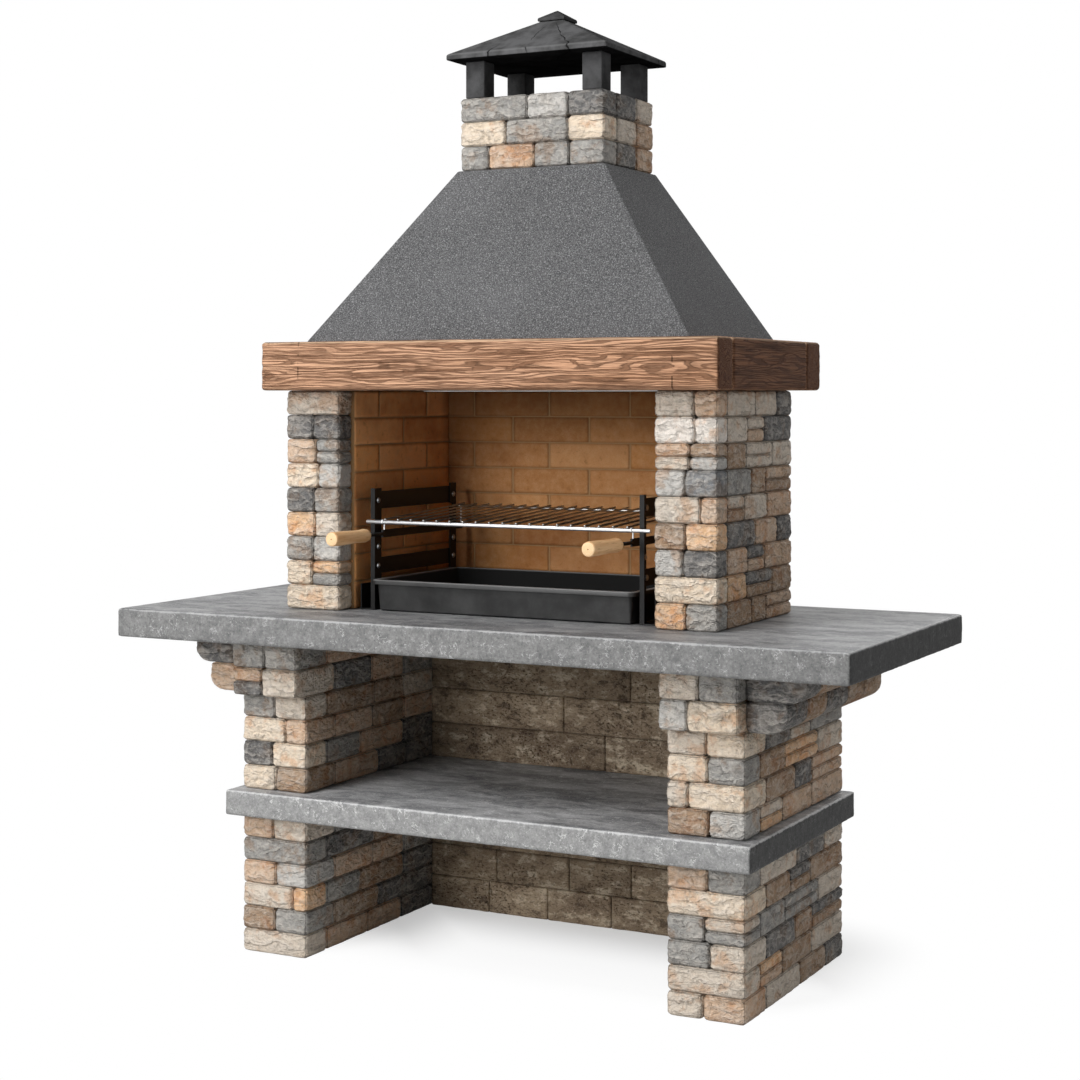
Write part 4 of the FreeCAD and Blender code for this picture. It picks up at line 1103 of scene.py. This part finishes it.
# %% The setting tree
def setting_tree():
    """Set copies of a turned form on points, each turned to face its own way."""
    tree, wire = new_tree("set_on_points", "Set", Points="Geometry", Form="Object", Smooth="Bool",
                          Finish="Material")
    form = wire.node("GeometryNodeObjectInfo", out="Geometry", Object=wire.out("Form"))
    turn = wire.node("FunctionNodeAlignRotationToVector", {"axis": "X"}, Vector=own_fact(wire, "facing"))
    shape = wire.node("GeometryNodeInstanceOnPoints", Points=wire.out("Points"), Instance=form, Rotation=turn)
    shape = wire.node("GeometryNodeRealizeInstances", Geometry=shape)
    shape = wire.node("GeometryNodeSetShadeSmooth", Geometry=shape, Shade_Smooth=wire.out("Smooth"))
    shape = wire.node("GeometryNodeSetMaterial", Geometry=shape, Material=wire.out("Finish"))
    wire.node("NodeGroupOutput", Set=shape)
    return tree


SETTING = setting_tree()
print("The setting tree has", len(SETTING.nodes), "nodes")


def set_copies(name, form, places, facings, finish, smooth=True):
    """Copies of a form at given places, as one plain piece."""
    mesh = bpy.data.meshes.new(name + "_points")
    mesh.from_pydata(places, [], [])
    values = np.array(facings, dtype=np.float32).ravel()
    mesh.attributes.new("facing", "FLOAT_VECTOR", "POINT").data.foreach_set("vector", values)
    pattern = placed(name + "_form", form)
    piece = run_tree(name, mesh, SETTING, form=pattern, smooth=smooth, finish=finish)
    bpy.data.objects.remove(pattern)
    print(name, "has", len(piece.data.polygons), "faces")
    return piece


# %% Bolts and nuts
HEAD_HEIGHT = 0.0045


def inner_ends(node):
    """The middle of each block's end nearest the hearth's middle, and the way that it faces."""
    places, facings = [], []
    for block in blocks_of(node):
        middle = (block.low + block.high) / 2
        inner = block.low.x if middle.x > 0 else block.high.x
        places.append(Vector((inner, middle.y, middle.z)))
        facings.append(Vector((-math.copysign(1.0, middle.x), 0, 0)))
    return places, facings


bolt_ends, bolt_facings = inner_ends("rack_bolts")
head_places = [place - facing * HEAD_HEIGHT for place, facing in zip(bolt_ends, bolt_facings)]
heads = set_copies("rack_bolt_heads", dome_form, head_places, bolt_facings, ZINC)
fit(heads, "masonry", "zinc_fastener", "rack_bolts")
nut_places, nut_facings = inner_ends("rack_nuts")
outer_facings = [-facing for facing in nut_facings]
nuts = set_copies("rack_hex_nuts", nut_form, nut_places, outer_facings, ZINC, smooth=False)
fit(nuts, "masonry", "zinc_fastener", "rack_nuts")

# %% [markdown]
# ## Cooking grate
# The grate is chromed wire: close bars over a bright stout front rod and a thinner rear one, with wire hooks
# up from the two flat arms. The bars and the rear rod take a darker chrome as painted shade. One bar with
# rounded ends is turned, and Geometry Nodes lay it wherever the frame has one. Each hook is a round wire
# along a smooth curve.

# %% Bars and rods
def round_bar(length, radius):
    """Profile of a bar along X whose ends are rounded."""
    nose = 0.4 * radius
    end = ((0, radius * 0.55), (nose * 0.3, radius * 0.86), (nose, radius))
    return end + tuple((length - along, thick) for along, thick in reversed(end))


bars = blocks_of("grate_bars")
bar_radius = (bars[0].high.x - bars[0].low.x) / 2
bar_rise = bars[0].high.z - bars[0].low.z - 2 * bar_radius
bar_way = Vector((0, bars[0].high.y - bars[0].low.y, bar_rise))
bar_starts = [Vector(((bar.low.x + bar.high.x) / 2, bar.low.y, bar.low.z + bar_radius)) for bar in bars]
bar_form = lathe("bar", round_bar(bar_way.length, bar_radius), 14)
# the bars and the rear rod in the darker chrome, as painted shade
wires = set_copies("grate_wires", bar_form, bar_starts, [bar_way.normalized()] * len(bars), SHADED_CHROME)
fit(wires, "grate", "grate_chrome", "grate_bars")
for rod, finish in (("grate_front_rod", CHROME), ("grate_rear_rod", SHADED_CHROME)):
    low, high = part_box(rod)
    start = Vector((low.x, (low.y + high.y) / 2, (low.z + high.z) / 2))
    form = lathe(rod, round_bar(high.x - low.x, (high.z - low.z) / 2), 24)
    chromed = set_copies(rod + "_chrome", form, [start], [Vector((1, 0, 0))], finish)
    fit(chromed, "grate", "grate_chrome", rod)

# %% Hooks and arms
HOOK_WIRE = 0.0022
HOOK_SEAT = 0.002


def wire_path(name, points, radius):
    """A round wire along points, smooth through them, as a plain mesh."""
    curve = bpy.data.curves.new(name, "CURVE")
    curve.dimensions = "3D"
    curve.bevel_depth = radius
    curve.bevel_resolution = 4
    curve.use_fill_caps = True
    spline = curve.splines.new("NURBS")
    spline.points.add(len(points) - 1)
    for point, place in zip(spline.points, points):
        point.co = (*place, 1)
    spline.order_u = 3
    spline.use_endpoint_u = True
    drawn = placed(name + "_drawn", curve)
    depsgraph = bpy.context.evaluated_depsgraph_get()
    mesh = bpy.data.meshes.new_from_object(drawn.evaluated_get(depsgraph))
    bpy.data.objects.remove(drawn)
    mesh.shade_smooth()
    return mesh


def hook_points(hook):
    """The way of a wire hook: up its leg, over the rod and down to a short lip."""
    middle = (hook.low + hook.high) / 2
    back, front = hook.high.y - HOOK_WIRE, hook.low.y + HOOK_WIRE
    top = hook.high.z - HOOK_WIRE
    lip = top - 0.5 * (hook.high.y - hook.low.y)
    way = ((back, hook.low.z - HOOK_SEAT), (back, lip), (back, top), (middle.y, top), (front, top),
           (front, lip))
    return [(middle.x, y, z) for y, z in way]


hook_shape = bmesh.new()
for hook in blocks_of("grate_hooks"):
    hook_shape.from_mesh(wire_path("hook", hook_points(hook), HOOK_WIRE))
wire_hooks = placed("grate_wire_hooks", finished_mesh(hook_shape, "grate_wire_hooks", CHROME))
fit(wire_hooks, "grate", "grate_chrome", "grate_hooks")
print("Hooks have", len(wire_hooks.data.polygons), "faces")
for side in ("left", "right"):
    softened(f"{side}_handle_arm", BLACK_STEEL, "black_steel", body="grate", width=STEEL_EDGE)

# %% [markdown]
# ## Turned grips
# The grips are turned from pale wood: a slight waist, a swell towards the arm and a rounded end. A profile of
# a few points is spun, with the grain running along it and rings of pale end grain at the front.

# %% Grip finish
GRIP_RING = 0.0028
GRIP_FRONT = 0.0022
GRIP_PITH = 0.0022


def grip_finish():
    material, wire, place = new_finish("grip_wood")
    drawn = place.vector("MULTIPLY", (1.0, 0.06, 1.0))
    fibre = cloud(drawn, 420, 4.0, 0.6)
    band = cloud(drawn, 90, 3.0, 0.5)
    low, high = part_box("right_grip")
    parts = place.split()
    aside = parts.math("ABSOLUTE") - (low.x + high.x) / 2
    above = parts.out("Z") - (low.z + high.z) / 2
    radius = (aside * aside + above * above).math("SQRT")
    ring = ((radius + 0.003 * cloud(place, 120, 2.0)) * (math.tau / GRIP_RING)).math("SINE") * 0.5 + 0.5
    front = rise(parts.out("Y"), low.y + GRIP_FRONT, low.y + 0.0006)
    colour = layered(blend(rise(band, 0.3, 0.7), tint("dca772"), tint("f0c898")),
                     (rise(fibre, 0.54, 0.68), 0.55, "a8703a"))
    colour = blend(front * 0.9, colour, blend(ring, tint("f0d4ac"), tint("d9ad7a")))
    colour = blend(front * rise(radius, GRIP_PITH, 0.0012), colour, tint("8a5c34"))
    return seal(material, wire, colour, 0.42 + 0.2 * fibre, fibre, 0.0004, Specular_IOR_Level=0.4)


GRIP_WOOD = grip_finish()

# %% Grips
GRIP_STATIONS = ((0.0, 0.78), (0.006, 0.9), (0.02, 0.98), (0.06, 1.0), (0.3, 0.985), (0.62, 0.91),
                 (0.74, 0.9), (0.84, 0.945), (0.91, 0.97), (0.96, 0.9), (0.985, 0.78), (1.0, 0.55))
for side in ("left", "right"):
    low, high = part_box(f"{side}_grip")
    middle = (low + high) / 2
    radius = (high.z - low.z) / 2
    profile = [(share * (high.y - low.y), radius * swell) for share, swell in GRIP_STATIONS]
    grip = set_copies(f"{side}_turned_grip", lathe(f"{side}_grip", profile, 40),
                      [Vector((middle.x, low.y, middle.z))], [Vector((0, 1, 0))], GRIP_WOOD)
    fit(grip, "grate", "grip_wood", f"{side}_grip")

# %% [markdown]
# ## Charcoal tray
# The tray is a pressed pan: rounded corners, walls that lean out a little and a rim folded down all round. It
# is made as a stack of rounded rectangles, each a little wider or narrower than the last, bridged in order.
# Its black enamel has a painted highlight along the rim and painted shade inside, and the mesh itself says
# which rings are inside.

# %% Tray finish
def tray_finish():
    material, wire, place = new_finish("tray_steel")
    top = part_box("charcoal_tray")[1].z
    smear = cloud(place, 12, 4.0, 0.6)
    painted_shade = reading(wire, "painted_shade")
    colour = layered(blend(rise(smear, 0.3, 0.75), tint("212121"), tint("383838")),
                     # painted highlight along the rim
                     (rise(place.split().out("Z"), top - 0.003, top - 0.0008), 0.6, "8a8a8a"),
                     # painted shade inside the pan
                     (painted_shade, 0.9, "030303"))
    rough = 0.3 + 0.16 * smear + 0.5 * painted_shade
    return seal(material, wire, colour, rough, cloud(place, 600, 2.0, 0.6), 0.00016, Specular_IOR_Level=0.28)


TRAY_STEEL = tray_finish()

# %% Tray
TRAY_CORNER = 0.02
LEAST_CORNER = 0.004
CORNER_STEPS = 6
TRAY_WALL = 0.002
TRAY_RIM = 0.01
TRAY_LIP = 0.011
TRAY_DRAFT = 0.006
# first ring inside the pan, where the painted shade begins
SHADE_FROM_RING = 13


def rounded_ring(low, high, inset, height):
    """Points of a rounded rectangle drawn in from a box by an inset."""
    radius = max(TRAY_CORNER - inset, LEAST_CORNER)
    ring = []
    corners = ((high.x, high.y, 0), (low.x, high.y, 90), (low.x, low.y, 180), (high.x, low.y, 270))
    for corner_x, corner_y, start in corners:
        centre_x = corner_x - math.copysign(inset + radius, corner_x - (low.x + high.x) / 2)
        centre_y = corner_y - math.copysign(inset + radius, corner_y - (low.y + high.y) / 2)
        for step in range(CORNER_STEPS + 1):
            turn = math.radians(start + 90 * step / CORNER_STEPS)
            ring.append((centre_x + radius * math.cos(turn), centre_y + radius * math.sin(turn), height))
    return ring


def tray_mesh():
    """The pan: up the outside, out and over the folded rim, and down the inside, as insets and heights."""
    low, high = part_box("charcoal_tray")
    foot, top = low.z, high.z
    outer, inner = TRAY_RIM, TRAY_RIM + TRAY_WALL
    drawn = TRAY_DRAFT
    stack = [(outer + drawn + 0.006, foot), (outer + drawn + 0.001, foot + 0.004),
             (outer + 0.0015, top - 0.006), (outer - 0.002, top - 0.0025), (0.003, top - 0.0025),
             (TRAY_WALL, top - 0.004),
             (TRAY_WALL, top - TRAY_LIP), (0.0, top - TRAY_LIP), (0.0, top - 0.0035), (0.001, top - 0.001),
             (0.003, top), (outer, top), (inner - 0.001, top - 0.001), (inner, top - 0.004),
             (inner + drawn, foot + 0.006), (inner + drawn + 0.005, foot + TRAY_WALL)]
    shape = bmesh.new()
    rings = [[shape.verts.new(point) for point in rounded_ring(low, high, inset, z)] for inset, z in stack]
    # the rings inside the pan are marked for painted shade
    painted_shade = [float(number >= SHADE_FROM_RING) for number, ring in enumerate(rings) for _ in ring]
    close_rings(shape, rings)
    mesh = finished_mesh(shape, "charcoal_pan", TRAY_STEEL)
    mesh.attributes.new("painted_shade", "FLOAT", "POINT").data.foreach_set("value", painted_shade)
    mesh.shade_smooth()
    mesh.set_sharp_from_angle(angle=math.radians(40))
    return mesh


pan = placed("charcoal_pan", tray_mesh())
fit(pan, "tray", "tray_steel", "charcoal_tray")
print("Tray pressed with", len(pan.data.polygons), "faces")
